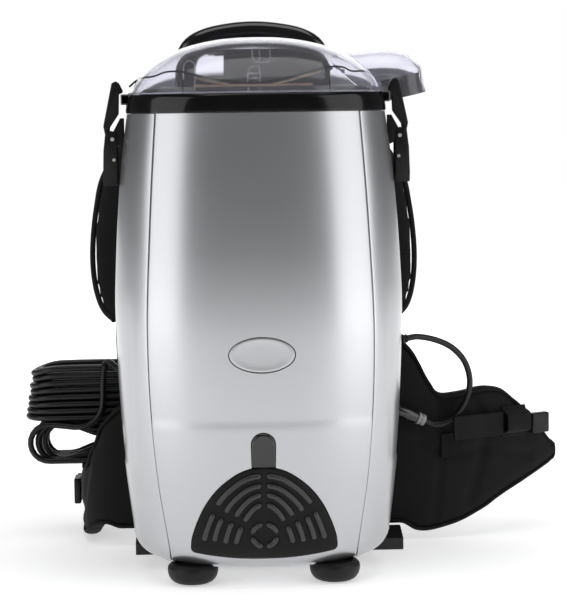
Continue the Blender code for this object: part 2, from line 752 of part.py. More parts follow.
def make_latch(word, side):
    """Over-centre latch: bracket on the casing, lever, and the hook that draws the lid's rim down."""
    widths = LATCH_HALF_WIDTHS
    hook_points = [
        (0.1395, 0.4085), (0.1455, 0.4090), (0.1462, 0.4200), (0.1515, 0.4480), (0.1505, 0.4530),
        (0.1420, 0.4905),
        (0.1350, 0.4905), (0.1316, 0.4830), (0.1316, 0.4808), (0.1355, 0.4790), (0.1362, 0.4600),
        (0.1450, 0.4470),
        (0.1458, 0.4380), (0.1455, 0.4300), (0.1385, 0.4200),
    ]
    hook = latch_prism("latch_hook_" + word, hook_points, side, widths["hook"], HOOK_PIVOT, "latch_black")
    boolean(hook, pivot_hole(f"hook_bore_{word}", side, HOOK_PIVOT, 0.0019))

    lever_points = [
        (0.1380, 0.3895), (0.1520, 0.3895), (0.1515, 0.4240), (0.1495, 0.4410), (0.1450, 0.4440),
        (0.1395, 0.4425),
        (0.1380, 0.4300),
    ]
    lever = latch_prism("latch_lever_" + word, lever_points, side, widths["cheek"], LATCH_PIVOT,
                        "latch_black")
    slot_low = (side * 0.125, LATCH_Y - widths["ear"] - GAP, 0.4030)
    slot_high = (side * 0.165, LATCH_Y + widths["ear"] + GAP, 0.4600)
    boolean(lever, cutter(f"lever_slot_{word}", box_between(f"lever_slot_{word}", slot_low, slot_high)))
    under_low = (side * 0.125, LATCH_Y - widths["ear"] - GAP, 0.3800)
    under_high = (side * 0.1475, LATCH_Y + widths["ear"] + GAP, 0.4040)
    boolean(lever, cutter(f"lever_under_{word}", box_between(f"lever_under_{word}", under_low, under_high)))
    boolean(lever, pivot_hole(f"lever_bore_{word}", side, LATCH_PIVOT, 0.0023))
    boolean(lever, pivot_hole(f"lever_hook_bore_{word}", side, HOOK_PIVOT, 0.0019))

    bracket_points = [
        (0.1325, 0.4300), (0.1330, 0.4270), (0.1440, 0.4320), (0.1455, 0.4353), (0.1440, 0.4385),
        (0.1345, 0.4560),
        (0.1312, 0.4560), (0.1312, 0.4400),
    ]
    bracket = latch_prism("latch_bracket_" + word, bracket_points, side, widths["ear"], LATCH_PIVOT,
                          "latch_black")
    gap_low = (side * 0.1335, LATCH_Y - widths["hook"] - 0.0005, 0.42)
    gap_high = (side * 0.1700, LATCH_Y + widths["hook"] + 0.0005, 0.47)
    boolean(bracket, cutter(f"bracket_gap_{word}", box_between(f"bracket_gap_{word}", gap_low, gap_high)))
    boolean(bracket, pivot_hole(f"bracket_bore_{word}", side, LATCH_PIVOT, 0.0023))

    latch_pin("latch_pin_" + word, side, LATCH_PIVOT, 0.0020)
    latch_pin("hook_pin_" + word, side, HOOK_PIVOT, 0.0016)


def box_between(name, a, b):
    low = [min(u, v) for u, v in zip(a, b)]
    high = [max(u, v) for u, v in zip(a, b)]
    return box_mesh(name, low, high)


def pivot_hole(name, side, pivot, radius):
    x, z = side * pivot[0], pivot[1]
    return cutter(name,
                  cylinder_mesh(name, (x, LATCH_Y - 0.02, z), (x, LATCH_Y + 0.02, z), radius, segments=16))


def latch_pin(name, side, pivot, radius):
    reach = LATCH_HALF_WIDTHS["cheek"] + 0.0004
    mesh = cylinder_mesh(name, (0, -reach, 0), (0, reach, 0), radius, segments=16)
    part(name, smooth(mesh), "pin_steel", (side * pivot[0], LATCH_Y, pivot[1]))


# ---- harness ------------------------------------------------------------------------------------
def make_frame():
    """Harness plate with its foot and the four bosses that carry the casing."""
    right = [(0.100, 0.0), (0.097, 0.060), (0.078, 0.120), (0.074, 0.200), (0.084, 0.270), (0.096, 0.340),
             (0.094, 0.410), (0.086, 0.450), (0.080, 0.484), (0.066, 0.492)]
    outline = right + [(-x, z) for x, z in reversed(right)]
    frame = part("back_frame", prism_mesh("back_frame", outline, *FRAME_Y), "harness_plastic")
    foot = [(BASE_Y[0], 0.0), (BASE_Y[1], 0.0), (BASE_Y[1], 0.008), (FRAME_Y[1], BASE_THICKNESS + 0.006),
            (FRAME_Y[0], BASE_THICKNESS + 0.006), (BASE_Y[0], BASE_THICKNESS)]
    mesh = prism_mesh("harness_foot", [(-y, z) for y, z in reversed(foot)], BASE_X[0], BASE_X[1])
    mesh.transform(Matrix.Rotation(math.radians(-90), 4, "Z"))
    boolean(frame, cutter("harness_foot", mesh), "UNION")
    for x in (-0.055, 0.055):
        for z in (0.095, 0.400):
            name = f"boss_{'r' if x > 0 else 'l'}_{round(z * 1000)}"
            boss = cylinder_mesh(name, (x, -0.0290, z), (x, FRAME_Y[1] - 0.002, z), 0.009, segments=20)
            boolean(frame, cutter(name, boss), "UNION")
    boolean(frame, rear_clearance())


def rear_clearance():
    """Back of the casing grown by the gap, so that the bosses follow its curve."""
    outline = [(x, SPLIT_Y + y) for x, y in arc(0.1438, REAR_DEPTH + GAP, REAR_POWER, 20, 1)]
    outline += [(-0.1438, SPLIT_Y - 0.01), (0.1438, SPLIT_Y - 0.01)]
    return cutter("rear_clearance", prism_mesh("rear_clearance", outline, 0.019, 0.459, "Z"))


def make_handle():
    """Arched carry handle with its legs against the rear face of the harness plate."""
    radius = 0.0110
    y = FRAME_Y[1] + GAP + radius
    reach = 0.0715
    route = [(-reach, y, 0.440), (-reach, y, 0.470), (-reach, y, 0.500), (-reach + 0.004, y, 0.518),
             (-0.052, y, 0.534), (-0.026, y, 0.5425), (0.0, y, 0.5445)]
    route += [(-x, h, z) for x, h, z in reversed(route[:-1])]
    tube("carry_handle", even_path(route, 0.013), radius, "black_gloss", 4)


def make_pads():
    """Upper back pad and lumbar pad on the rear face of the plate."""
    upper = part("back_pad", box_mesh("back_pad", (-0.090, PAD_Y[0], 0.238), (0.090, PAD_Y[1], 0.428)),
                 "padding")
    bevel(upper, 0.009)
    lower = part("lumbar_pad",
                 box_mesh("lumbar_pad", (-0.100, PAD_Y[0], 0.022), (0.100, PAD_Y[1], 0.214)), "padding")
    bevel(lower, 0.009)


def make_shoulder_strap(word, side):
    """Padded strap that loops back from the top of the harness to its waist, with its adjuster."""
    route = [
        (0.056, 0.0300, 0.414), (0.064, 0.0420, 0.440), (0.088, 0.0560, 0.450), (0.116, 0.0680, 0.434),
        (0.136, 0.0780, 0.400), (0.144, 0.0860, 0.360), (0.148, 0.0870, 0.320), (0.148, 0.0810, 0.292),
        (0.145, 0.0680, 0.268), (0.139, 0.0480, 0.250), (0.131, 0.0300, 0.240),
    ]
    widths = [0.050, 0.056, 0.058, 0.058, 0.058, 0.058, 0.058, 0.058, 0.056, 0.052, 0.044]
    tilt = [0.0, -0.25, -0.45, -0.45, -0.30, -0.15, 0.0, 0.0, 0.0, 0.0, 0.0]
    stations = [((side * x, y, z), (1, 0, side * lean), w) for (x, y, z), w, lean in zip(route, widths, tilt)]
    ribbon("shoulder_strap_" + word, stations, "padding", 0.012)
    webbing = [(0.1280, 0.0210, 0.2400), (0.1180, 0.0090, 0.2400), (0.1090, -0.0020, 0.2410),
               (0.1000, -0.0090, 0.2420)]
    stations = [((side * x, y, z), (0, 0, 1), 0.024) for x, y, z in webbing]
    ribbon("strap_webbing_" + word, stations, "webbing", 0.0024, 0)
    low, high = (0.1290, 0.0200, 0.2240), (0.1400, 0.0232, 0.2560)
    mesh = box_between("strap_adjuster_" + word, (side * low[0], low[1], low[2]),
                       (side * high[0], high[1], high[2]))
    adjuster = part("strap_adjuster_" + word, mesh, "buckle_plastic")
    bevel(adjuster, 0.0008, 1)


WING_THICKNESS = 0.018
RIGHT_WING = [              # x, y, lowest point, highest point
    (0.1030, 0.0090, 0.0190, 0.2150), (0.1350, 0.0090, 0.0188, 0.2190), (0.1550, 0.0090, 0.0186, 0.2160),
    (0.1680, 0.0095, 0.0100, 0.2000), (0.1800, 0.0105, 0.0090, 0.1750), (0.1920, 0.0120, 0.0110, 0.1560),
    (0.2150, 0.0160, 0.0170, 0.1570), (0.2400, 0.0230, 0.0290, 0.1620), (0.2600, 0.0310, 0.0420, 0.1600),
    (0.2800, 0.0410, 0.0520, 0.1430), (0.3000, 0.0530, 0.0620, 0.1220), (0.3160, 0.0640, 0.0700, 0.1000),
    (0.3240, 0.0700, 0.0760, 0.0920),
]
LEFT_WING = [
    (-0.1030, 0.0090, 0.0190, 0.1560), (-0.1340, 0.0090, 0.0188, 0.1540), (-0.1500, 0.0090, 0.0190, 0.1480),
    (-0.1630, 0.0110, 0.0240, 0.1340), (-0.1720, 0.0170, 0.0200, 0.1080), (-0.1780, 0.0270, 0.0120, 0.0860),
    (-0.1810, 0.0420, 0.0060, 0.0790), (-0.1840, 0.0620, 0.0040, 0.0780), (-0.1850, 0.0850, 0.0040, 0.0780),
    (-0.1830, 0.1080, 0.0060, 0.0740), (-0.1790, 0.1260, 0.0140, 0.0640),
]


def make_belt():
    """Padded hip wings, the right one spread out and the left one folded back under the cord."""
    panel("belt_wing_right", RIGHT_WING, "padding", WING_THICKNESS)
    panel("belt_wing_left", LEFT_WING, "padding", WING_THICKNESS)
    face = WING_THICKNESS / 2
    along = Vector((0.876, 0.482, 0)).normalized()
    out = Vector((along.y, -along.x, 0))
    base = Vector((0.2720, 0.0370, 0)) + out * (face + 0.0018)
    oriented_box("belt_keeper", base, along, out, (-0.016, 0.016), (0.0, 0.012), (0.109, 0.137), "webbing")
    oriented_box("buckle_socket", base + along * 0.029, along, out, (-0.011, 0.013), (0.0016, 0.0110),
                 (0.108, 0.131),
                 "buckle_plastic")
    oriented_box("belt_webbing_right", base - along * 0.036, along, out, (-0.045, 0.0185), (0.0030, 0.0055),
                 (0.110, 0.135), "webbing")
    centre = Vector((-0.1852 - face - GAP - 0.004, 0.098, 0.046))
    plug = part("buckle_plug", box_mesh("buckle_plug", centre - Vector((0.004, 0.022, 0.014)),
                                        centre + Vector((0.0034, 0.022, 0.014))), "buckle_plastic")
    bevel(plug, 0.0015, 1)


def oriented_box(name, base, along, out, length, depth, height, finish):
    """A box on the face of the belt wing, from ranges along the belt, out of its face and upwards."""
    bm = bmesh.new()
    bmesh.ops.create_cube(bm, size=1.0)
    for vert in bm.verts:
        u = length[0] if vert.co.x < 0 else length[1]
        v = depth[0] if vert.co.y > 0 else depth[1]
        z = height[0] if vert.co.z < 0 else height[1]
        vert.co = base + along * u + out * v + Vector((0, 0, z))
    obj = part(name, mesh_from(name, bm), finish)
    bevel(obj, min(0.003, (depth[1] - depth[0]) / 3), 2)
    return obj


# ---- cord ---------------------------------------------------------------------------------------
CONNECTOR_START = Vector((0.1770, -0.0100, 0.1310))
CONNECTOR_AXIS = Vector((-0.905, -0.150, 0.400)).normalized()
COLLAR_LENGTH = 0.009
CONNECTOR_LENGTH = 0.064


def pigtail_route():
    start, direction = gland_axis()
    tip = start + direction * 0.0343
    return [
        tip, tip + direction * 0.012, (0.1870, -0.0240, 0.2190), (0.2050, -0.0170, 0.2100),
        (0.2190, -0.0110, 0.1950), (0.2255, -0.0070, 0.1760), (0.2240, -0.0050, 0.1580),
        (0.2150, -0.0055, 0.1405), (0.2010, -0.0070, 0.1285), CONNECTOR_START - CONNECTOR_AXIS * 0.012,
        CONNECTOR_START - CONNECTOR_AXIS * GAP,
    ]


def lead_route():
    end = CONNECTOR_START + CONNECTOR_AXIS * (COLLAR_LENGTH + CONNECTOR_LENGTH + 2 * GAP)
    return [
        end, end + CONNECTOR_AXIS * 0.014, (0.0760, -0.0212, 0.1690), (0.0400, -0.0212, 0.1700),
        (0.0000, -0.0212, 0.1650), (-0.0400, -0.0212, 0.1590), (-0.0800, -0.0212, 0.1590),
        (-0.1100, -0.0200, 0.1660), (-0.1330, -0.0130, 0.1780), (-0.1480, 0.0000, 0.1910),
        (-0.1570, 0.0160, 0.1970), (-0.1630, 0.0310, 0.1920), (-0.1660, 0.0400, 0.1740),
        (-0.1670, 0.0414, 0.1500), (-0.1706, 0.0414, 0.1365), (-0.1805, 0.0414, 0.1266),
        (-0.1940, 0.0414, 0.1230),
    ]


def hank_outline():
    """Stadium outline of the hank, seen from above."""
    radius = (HANK_Y[1] - HANK_Y[0]) / 2
    middle = (HANK_Y[0] + HANK_Y[1]) / 2
    points = []
    for centre, start in ((HANK_X[1] - radius, -90), (HANK_X[0] + radius, 90)):
        for i in range(11):
            t = math.radians(start + 18 * i)
            points.append((centre + radius * math.cos(t), middle + radius * math.sin(t)))
    return points


def make_cord():
    """Strain relief, short tail, in-line connector, lead and the hank of the lead, with its tie and plug."""
    start, direction = gland_axis()
    gland = turned("cord_gland", [
        (0.0, 0.034), (0.0045, 0.034), (0.0058, 0.020), (0.0080, 0.004), (0.0080, -0.008), (0.0, -0.008),
    ], "black_rubber", start, 20)
    gland.rotation_mode = "QUATERNION"
    gland.rotation_quaternion = Vector((0, 0, 1)).rotation_difference(direction)
    tube("cord_tail", even_path(pigtail_route(), 0.008), CORD_RADIUS, "cord_black")

    collar_end = CONNECTOR_START + CONNECTOR_AXIS * COLLAR_LENGTH
    part("connector_collar",
         smooth(cylinder_mesh("connector_collar", CONNECTOR_START, collar_end, 0.0058, 0.0064)),
         "collar_grey")
    body_start = collar_end + CONNECTOR_AXIS * GAP
    part("cord_connector", smooth(cylinder_mesh("cord_connector", body_start,
                                                body_start + CONNECTOR_AXIS * CONNECTOR_LENGTH, 0.0064,
                                                0.0056)),
         "black_gloss")
    tube("lead_run", even_path(lead_route(), 0.0085), CORD_RADIUS, "cord_black")
    part("lead_hank", prism_mesh("lead_hank", hank_outline(), *HANK_Z, "Z"), "cord_black")
    make_tie()
    make_plug()


def make_tie():
    """Hook-and-loop tie round the hank, with the tab that joins it to the lumbar pad."""
    thick = 0.0018
    low = Vector((TIE_X[0], HANK_Y[0] - GAP - thick, HANK_Z[0] - GAP - thick))
    high = Vector((TIE_X[1], HANK_Y[1] + GAP + thick, HANK_Z[1] + GAP + thick))
    band = part("cable_tie", box_mesh("cable_tie", low, high), "webbing")
    tab = box_mesh("tie_tab", (TIE_X[0] + 0.002, PAD_Y[1] + GAP, 0.150),
                   (TIE_X[1] - 0.002, low.y + 0.001, 0.153))
    boolean(band, cutter("tie_tab", tab), "UNION")
    inner = Vector((0.01, -thick, -thick))
    boolean(band, cutter("tie_hollow", box_mesh("tie_hollow", low - inner, high + inner)))


def make_plug():
    """Three-pin mains plug lying on the hank, with the last short run of the lead."""
    low = Vector((-0.126, 0.061, HANK_Z[1] + GAP))
    high = Vector((-0.084, 0.091, HANK_Z[1] + GAP + 0.020))
    plug = part("mains_plug", box_mesh("mains_plug", low, high), "black_gloss")
    middle = (low + high) / 2
    for i, (y, z) in enumerate(((-0.007, 0.004), (0.007, 0.004), (0.0, -0.005))):
        pin = middle + Vector((low.x - middle.x, y, z))
        boolean(plug, cutter(f"plug_pin_{i}", box_mesh(f"plug_pin_{i}", pin - Vector((0.017, 0.0008, 0.003)),
                                                       pin + Vector((0.002, 0.0008, 0.003)))), "UNION")
    start = Vector((high.x + GAP, middle.y, middle.z))
    radius = HANK_Z[1] + GAP + CORD_RADIUS
    route = [start, start + Vector((0.012, 0, 0)), (-0.060, middle.y + 0.001, middle.z - 0.0003),
             (-0.048, middle.y + 0.002, radius + 0.0058), (-0.036, middle.y + 0.002, radius + 0.0022)]
    tube("plug_run", even_path(route, 0.008), CORD_RADIUS, "cord_black")


def main():
    make_front_casing()
    make_rear_casing()
    make_feet()
    make_grille()
    make_lid()
    make_rim_ring()
    make_dust_bag()
    make_filter_tray()
    make_motor()
    make_electrics()
    for word, side in (("left", -1), ("right", 1)):
        make_latch(word, side)
        make_shoulder_strap(word, side)
    make_frame()
    make_handle()
    make_pads()
    make_belt()
    make_cord()


clear_scene()
PARTS = collection(NAME)
CUTTERS = collection("cutters")
main()
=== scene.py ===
"""Looks of the backpack vacuum cleaner: finishes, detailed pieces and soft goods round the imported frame."""
import json
import math

import bmesh
import bpy
import numpy as np
from mathutils import Matrix, Vector, noise
from mathutils.bvhtree import BVHTree


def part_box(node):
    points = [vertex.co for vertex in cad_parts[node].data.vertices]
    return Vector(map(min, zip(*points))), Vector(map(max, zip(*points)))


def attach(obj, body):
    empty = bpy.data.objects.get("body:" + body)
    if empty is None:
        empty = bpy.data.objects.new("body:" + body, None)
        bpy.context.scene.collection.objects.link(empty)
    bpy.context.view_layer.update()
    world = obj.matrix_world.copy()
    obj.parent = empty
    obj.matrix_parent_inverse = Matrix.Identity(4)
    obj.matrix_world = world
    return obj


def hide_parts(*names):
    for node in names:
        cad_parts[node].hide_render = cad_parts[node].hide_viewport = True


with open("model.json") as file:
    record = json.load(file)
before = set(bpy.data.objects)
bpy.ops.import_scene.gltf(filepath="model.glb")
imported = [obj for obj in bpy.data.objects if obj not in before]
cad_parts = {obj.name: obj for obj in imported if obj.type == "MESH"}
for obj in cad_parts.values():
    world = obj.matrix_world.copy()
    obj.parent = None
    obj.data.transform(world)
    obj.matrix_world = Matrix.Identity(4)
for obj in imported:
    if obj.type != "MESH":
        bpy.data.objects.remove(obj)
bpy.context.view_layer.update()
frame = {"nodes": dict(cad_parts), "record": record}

# ---- shared dimensions, as in the part's source -------------------------------------------------
RIM_Z = 0.460
SPLIT_Y = -0.110
FRONT_POWER, REAR_POWER = 2.4, 4.0
REAR_DEPTH = 0.082
FLOOR_ROUND = 0.026
SECTIONS = np.array([
    (0.046, 0.1290, 0.101), (0.080, 0.1333, 0.105), (0.120, 0.1376, 0.109), (0.170, 0.1412, 0.111),
    (0.220, 0.1433, 0.112), (0.260, 0.1438, 0.112), (0.310, 0.1420, 0.110), (0.360, 0.1390, 0.106),
    (0.410, 0.1345, 0.101), (0.460, 0.1280, 0.095),
])
SEAM = np.array([(0.000, 0.0890), (0.030, 0.0915), (0.105, 0.1020), (0.177, 0.1080),
                 (0.248, 0.1097), (0.350, 0.1056), (0.470, 0.0980)])
CORD_RADIUS = 0.00325


# ---- camera and light ---------------------------------------------------------------------------
def make_camera():
    yaw, pitch, roll = math.radians(2.0), math.radians(5.43), math.radians(-0.8)
    ahead = Vector((math.sin(yaw) * math.cos(pitch), math.cos(yaw) * math.cos(pitch), -math.sin(pitch)))
    level = Vector((math.cos(yaw), -math.sin(yaw), 0))
    rise = level.cross(ahead)
    right = level * math.cos(roll) + rise * math.sin(roll)
    up = rise * math.cos(roll) - level * math.sin(roll)
    data = bpy.data.cameras.new("camera")
    data.lens = 120
    data.sensor_width = 36
    camera = bpy.data.objects.new("camera", data)
    turn = Matrix((right, up, -ahead)).transposed().to_4x4()
    camera.matrix_world = Matrix.Translation((-0.0453, -2.1088, 0.462)) @ turn
    bpy.context.scene.collection.objects.link(camera)
    bpy.context.scene.camera = camera


def soft_light(name, at, target, size, power, colour=(1, 1, 1)):
    data = bpy.data.lights.new(name, "AREA")
    data.shape = "RECTANGLE"
    data.size, data.size_y = size
    data.energy = power
    data.color = colour
    lamp = bpy.data.objects.new(name, data)
    lamp.location = at
    lamp.rotation_euler = (Vector(target) - Vector(at)).to_track_quat("-Z", "Y").to_euler()
    bpy.context.scene.collection.objects.link(lamp)


def make_studio():
    scene = bpy.context.scene
    scene.view_settings.view_transform = "Standard"
    world = bpy.data.worlds.new("studio")
    world.use_nodes = True
    tree = world.node_tree
    shade = tree.nodes["Background"]
    shade.inputs["Strength"].default_value = 1.0
    seen = tree.nodes.new("ShaderNodeLightPath")
    mix = tree.nodes.new("ShaderNodeMix")
    mix.data_type = "RGBA"
    mix.inputs[6].default_value = (0.10, 0.102, 0.108, 1)
    mix.inputs[7].default_value = (1.0, 1.0, 1.0, 1)
    tree.links.new(seen.outputs["Is Camera Ray"], mix.inputs[0])
    tree.links.new(mix.outputs[2], shade.inputs["Color"])
    scene.world = world
    soft_light("left_box", (-1.9, -1.1, 0.9), (0, -0.1, 0.28), (1.7, 2.2), 19)
    soft_light("right_box", (1.9, -1.1, 0.9), (0, -0.1, 0.28), (1.8, 2.2), 21)
    soft_light("top_box", (0.1, -0.5, 2.3), (0, -0.1, 0.2), (2.0, 1.4), 17)
    soft_light("back_box", (0.0, 2.2, 1.3), (0, 0, 0.25), (2.6, 1.6), 16)
    bm = bmesh.new()
    bmesh.ops.create_grid(bm, x_segments=1, y_segments=1, size=9)
    data = bpy.data.meshes.new("floor")
    bm.to_mesh(data)
    bm.free()
    floor = bpy.data.objects.new("floor", data)
    floor.location = (0, 0, -0.0004)
    paint = bpy.data.materials.new("floor_paint")
    paint.use_nodes = True
    shader = paint.node_tree.nodes["Principled BSDF"]
    shader.inputs["Roughness"].default_value = 0.75
    grain = paint.node_tree.nodes.new("ShaderNodeTexNoise")
    grain.inputs["Scale"].default_value = 6
    ramp = paint.node_tree.nodes.new("ShaderNodeValToRGB")
    ramp.color_ramp.elements[0].color = (0.90, 0.90, 0.90, 1)
    ramp.color_ramp.elements[1].color = (0.93, 0.93, 0.93, 1)
    paint.node_tree.links.new(grain.outputs["Fac"], ramp.inputs["Fac"])
    paint.node_tree.links.new(ramp.outputs["Color"], shader.inputs["Base Color"])
    links = paint.node_tree.links
    # Painted light: the floor glows through its emission, at 0.42 under the model rising to full strength
    # about 1.8 m out. This keeps the far floor white and also lights the model from below.
    shader.inputs["Emission Color"].default_value = (1, 1, 1, 1)
    place = paint.node_tree.nodes.new("ShaderNodeTexCoord")
    spread = paint.node_tree.nodes.new("ShaderNodeMapping")
    spread.inputs["Scale"].default_value = (0.55, 0.55, 0.55)
    fall = paint.node_tree.nodes.new("ShaderNodeTexGradient")
    fall.gradient_type = "SPHERICAL"
    glow = paint.node_tree.nodes.new("ShaderNodeValToRGB")
    glow.color_ramp.elements[0].color = (1.0, 1.0, 1.0, 1)
    glow.color_ramp.elements[1].color = (0.42, 0.42, 0.42, 1)
    links.new(place.outputs["Object"], spread.inputs["Vector"])
    links.new(spread.outputs["Vector"], fall.inputs["Vector"])
    links.new(fall.outputs["Fac"], glow.inputs["Fac"])
    links.new(glow.outputs["Color"], shader.inputs["Emission Strength"])
    data.materials.append(paint)
    bpy.context.scene.collection.objects.link(floor)


# ---- materials ----------------------------------------------------------------------------------
class Paint:
    """A small builder for procedural materials in object space."""

    def __init__(self, name, **sockets):
        self.material = bpy.data.materials.new(name)
        self.material.use_nodes = True
        self.tree = self.material.node_tree
        self.shader = self.tree.nodes["Principled BSDF"]
        for key, value in sockets.items():
            self.shader.inputs[key.replace("_", " ")].default_value = value
        self.place = self.tree.nodes.new("ShaderNodeTexCoord").outputs["Object"]
        self.height = None

    def node(self, kind, **settings):
        made = self.tree.nodes.new(kind)
        for key, value in settings.items():
            if key in made.inputs:
                made.inputs[key].default_value = value
            else:
                setattr(made, key, value)
        return made

    def link(self, source, target):
        self.tree.links.new(source, target)

    def noise(self, scale, detail=3.0, rough=0.55, stretch=None):
        made = self.node("ShaderNodeTexNoise", Scale=scale, Detail=detail, Roughness=rough)
        place = self.place
        if stretch:
            mapping = self.node("ShaderNodeMapping", Scale=stretch)
            self.link(place, mapping.inputs["Vector"])
            place = mapping.outputs["Vector"]
        self.link(place, made.inputs["Vector"])
        return made.outputs["Fac"]

    def ramp(self, factor, stops):
        made = self.node("ShaderNodeValToRGB")
        band = made.color_ramp
        while len(band.elements) < len(stops):
            band.elements.new(0.5)
        for element, (place, colour) in zip(band.elements, stops):
            element.position = place
            element.color = (*colour, 1) if isinstance(colour, tuple) else (colour, colour, colour, 1)
        self.link(factor, made.inputs["Fac"])
        return made.outputs["Color"]

    def math(self, operation, a, b=None, c=None):
        made = self.node("ShaderNodeMath", operation=operation)
        for i, value in enumerate((a, b, c)):
            if isinstance(value, (int, float)):
                made.inputs[i].default_value = value
            elif value is not None:
                self.link(value, made.inputs[i])
        return made.outputs[0]

    def colour(self, source):
        self.link(source, self.shader.inputs["Base Color"])

    def roughness(self, source):
        self.link(source, self.shader.inputs["Roughness"])

    def bump(self, factor, distance, strength=1.0):
        made = self.node("ShaderNodeBump", Strength=strength, Distance=distance)
        self.link(factor, made.inputs["Height"])
        if self.height is not None:
            self.link(self.height, made.inputs["Normal"])
        self.height = made.outputs["Normal"]
        self.link(self.height, self.shader.inputs["Normal"])


def silver_paint():
    p = Paint("silver_paint", Metallic=0.92, Coat_Weight=0.2, Coat_Roughness=0.12, IOR=1.5)
    flakes = p.noise(1900, 2, 0.7)
    p.colour(p.ramp(flakes, [(0.30, (0.48, 0.485, 0.50)), (0.72, (0.505, 0.51, 0.525))]))
    haze = p.noise(7, 2, 0.4)
    p.roughness(p.ramp(haze, [(0.3, 0.28), (0.75, 0.32)]))
    p.bump(flakes, 0.00002, 0.5)
    return p.material


def moulded(name, low, high, rough, grain=900, depth=0.00005, **sockets):
    """Black moulded plastic with a fine texture and slight colour variation."""
    p = Paint(name, **sockets)
    p.colour(p.ramp(p.noise(35, 4, 0.6), [(0.3, low), (0.75, high)]))
    p.roughness(p.ramp(p.noise(60, 3, 0.6), [(0.25, rough - 0.05), (0.8, rough + 0.07)]))
    p.bump(p.noise(grain, 2, 0.6), depth, 0.6)
    return p.material


def woven(name, low, high, pitch, sheen, depth=0.00025):
    """Plain-woven nylon: two crossed sets of threads, dusty colour variation and a soft sheen."""
    p = Paint(name, Specular_IOR_Level=0.25, Sheen_Weight=sheen, Sheen_Roughness=0.45)
    sheet = []
    for axis in ((1.0, 0.0, 0.6), (0.0, 1.0, 0.0), (0.0, 0.0, 1.0)):
        mapping = p.node("ShaderNodeVectorMath", operation="DOT_PRODUCT")
        p.link(p.place, mapping.inputs[0])
        mapping.inputs[1].default_value = axis
        sheet.append(p.math("SINE", p.math("MULTIPLY", mapping.outputs["Value"], 2 * math.pi / pitch)))
    flat = p.math("MAXIMUM", sheet[0], p.math("MULTIPLY", sheet[1], 0.6))
    weave = p.math("MULTIPLY_ADD", p.math("MULTIPLY", flat, sheet[2]), 0.5, 0.5)
    dust = p.noise(26, 5, 0.65)
    mix = p.node("ShaderNodeMix", data_type="RGBA")
    p.link(weave, mix.inputs[0])
    p.link(p.ramp(dust, [(0.3, low), (0.8, tuple(1.5 * c for c in low))]), mix.inputs[6])
    p.link(p.ramp(dust, [(0.3, high), (0.8, tuple(1.35 * c for c in high))]), mix.inputs[7])
    p.colour(mix.outputs[2])
    p.roughness(p.ramp(dust, [(0.3, 0.82), (0.8, 0.96)]))
    p.bump(weave, depth, 0.7)
    p.bump(p.noise(120, 4, 0.6), 0.0006, 0.35)
    return p.material


def make_materials():
    """Every finish by its slot name."""
    made = {"silver_paint": silver_paint()}
    made["black_casing"] = moulded("black_casing", (0.006, 0.006, 0.0065), (0.011, 0.011, 0.012), 0.42)
    made["black_gloss"] = moulded("black_gloss", (0.004, 0.004, 0.0045), (0.008, 0.008, 0.0085), 0.15, 260,
                                  0.000003,
                                  Coat_Weight=0.35, Coat_Roughness=0.05)
    made["black_rubber"] = moulded("black_rubber", (0.004, 0.004, 0.004), (0.009, 0.009, 0.009), 0.50, 700,
                                   Specular_IOR_Level=0.3)
    # Painted shade: the grille's plate (the next finish) gets a black several times darker than the ribs'
    # black, though both are one moulding. It stands in for the dark slots between the ribs. The ribs' black
    # is lighter than the casing's.
    made["grille_black"] = moulded("grille_black", (0.018, 0.018, 0.019), (0.030, 0.030, 0.031), 0.34, 1400)
    made["grille_web"] = moulded("grille_web", (0.003, 0.003, 0.0032), (0.006, 0.006, 0.0064), 0.50, 1400,
                                 Specular_IOR_Level=0.2)
    made["latch_black"] = moulded("latch_black", (0.002, 0.002, 0.0024), (0.0045, 0.0045, 0.005), 0.45, 1100,
                                  Specular_IOR_Level=0.25)
    made["harness_plastic"] = moulded("harness_plastic", (0.004, 0.004, 0.0044), (0.009, 0.009, 0.0095), 0.52)
    made["buckle_plastic"] = moulded("buckle_plastic", (0.003, 0.003, 0.0034), (0.007, 0.007, 0.0075), 0.40,
                                     800,
                                     Specular_IOR_Level=0.3)
    made["collar_grey"] = moulded("collar_grey", (0.20, 0.20, 0.205), (0.30, 0.30, 0.305), 0.32, 500)
    made["cord_black"] = moulded("cord_black", (0.003, 0.003, 0.0034), (0.007, 0.007, 0.0078), 0.34, 420,
                                 0.00002,
                                 Specular_IOR_Level=0.32)
    made["padding"] = woven("padding", (0.0022, 0.0022, 0.0025), (0.0075, 0.0075, 0.008), 0.0012, 0.03)
    made["webbing"] = woven("webbing", (0.0022, 0.0022, 0.0025), (0.009, 0.009, 0.0096), 0.0016, 0.03, 0.0004)
    steel = Paint("pin_steel", Metallic=1.0)
    steel.colour(steel.ramp(steel.noise(300), [(0.3, 0.45), (0.8, 0.62)]))
    steel.roughness(steel.ramp(steel.noise(900, stretch=(1, 0.1, 1)), [(0.3, 0.22), (0.8, 0.38)]))
    made["pin_steel"] = steel.material
    metal = Paint("motor_metal", Metallic=1.0)
    metal.colour(metal.ramp(metal.noise(60), [(0.3, 0.42), (0.8, 0.56)]))
    metal.roughness(metal.ramp(metal.noise(200), [(0.3, 0.3), (0.8, 0.45)]))
    made["motor_metal"] = metal.material
    for name, low, high, scale in (
        ("bag_paper", (0.40, 0.27, 0.16), (0.62, 0.46, 0.30), 40),
        ("card", (0.36, 0.22, 0.12), (0.50, 0.34, 0.20), 90),
        ("filter_foam", (0.05, 0.05, 0.055), (0.12, 0.12, 0.13), 900),
        ("filter_paper", (0.75, 0.75, 0.70), (0.88, 0.88, 0.85), 60),
        ("board_green", (0.02, 0.12, 0.05), (0.04, 0.20, 0.09), 200),
    ):
        p = Paint(name)
        p.colour(p.ramp(p.noise(scale, 5, 0.6), [(0.3, low), (0.75, high)]))
        p.roughness(p.ramp(p.noise(scale / 2), [(0.3, 0.75), (0.8, 0.95)]))
        p.bump(p.noise(scale * 3, 4, 0.7), 0.0003, 0.6)
        made[name] = p.material
    made["clear_lid"] = clear_plastic()
    return made


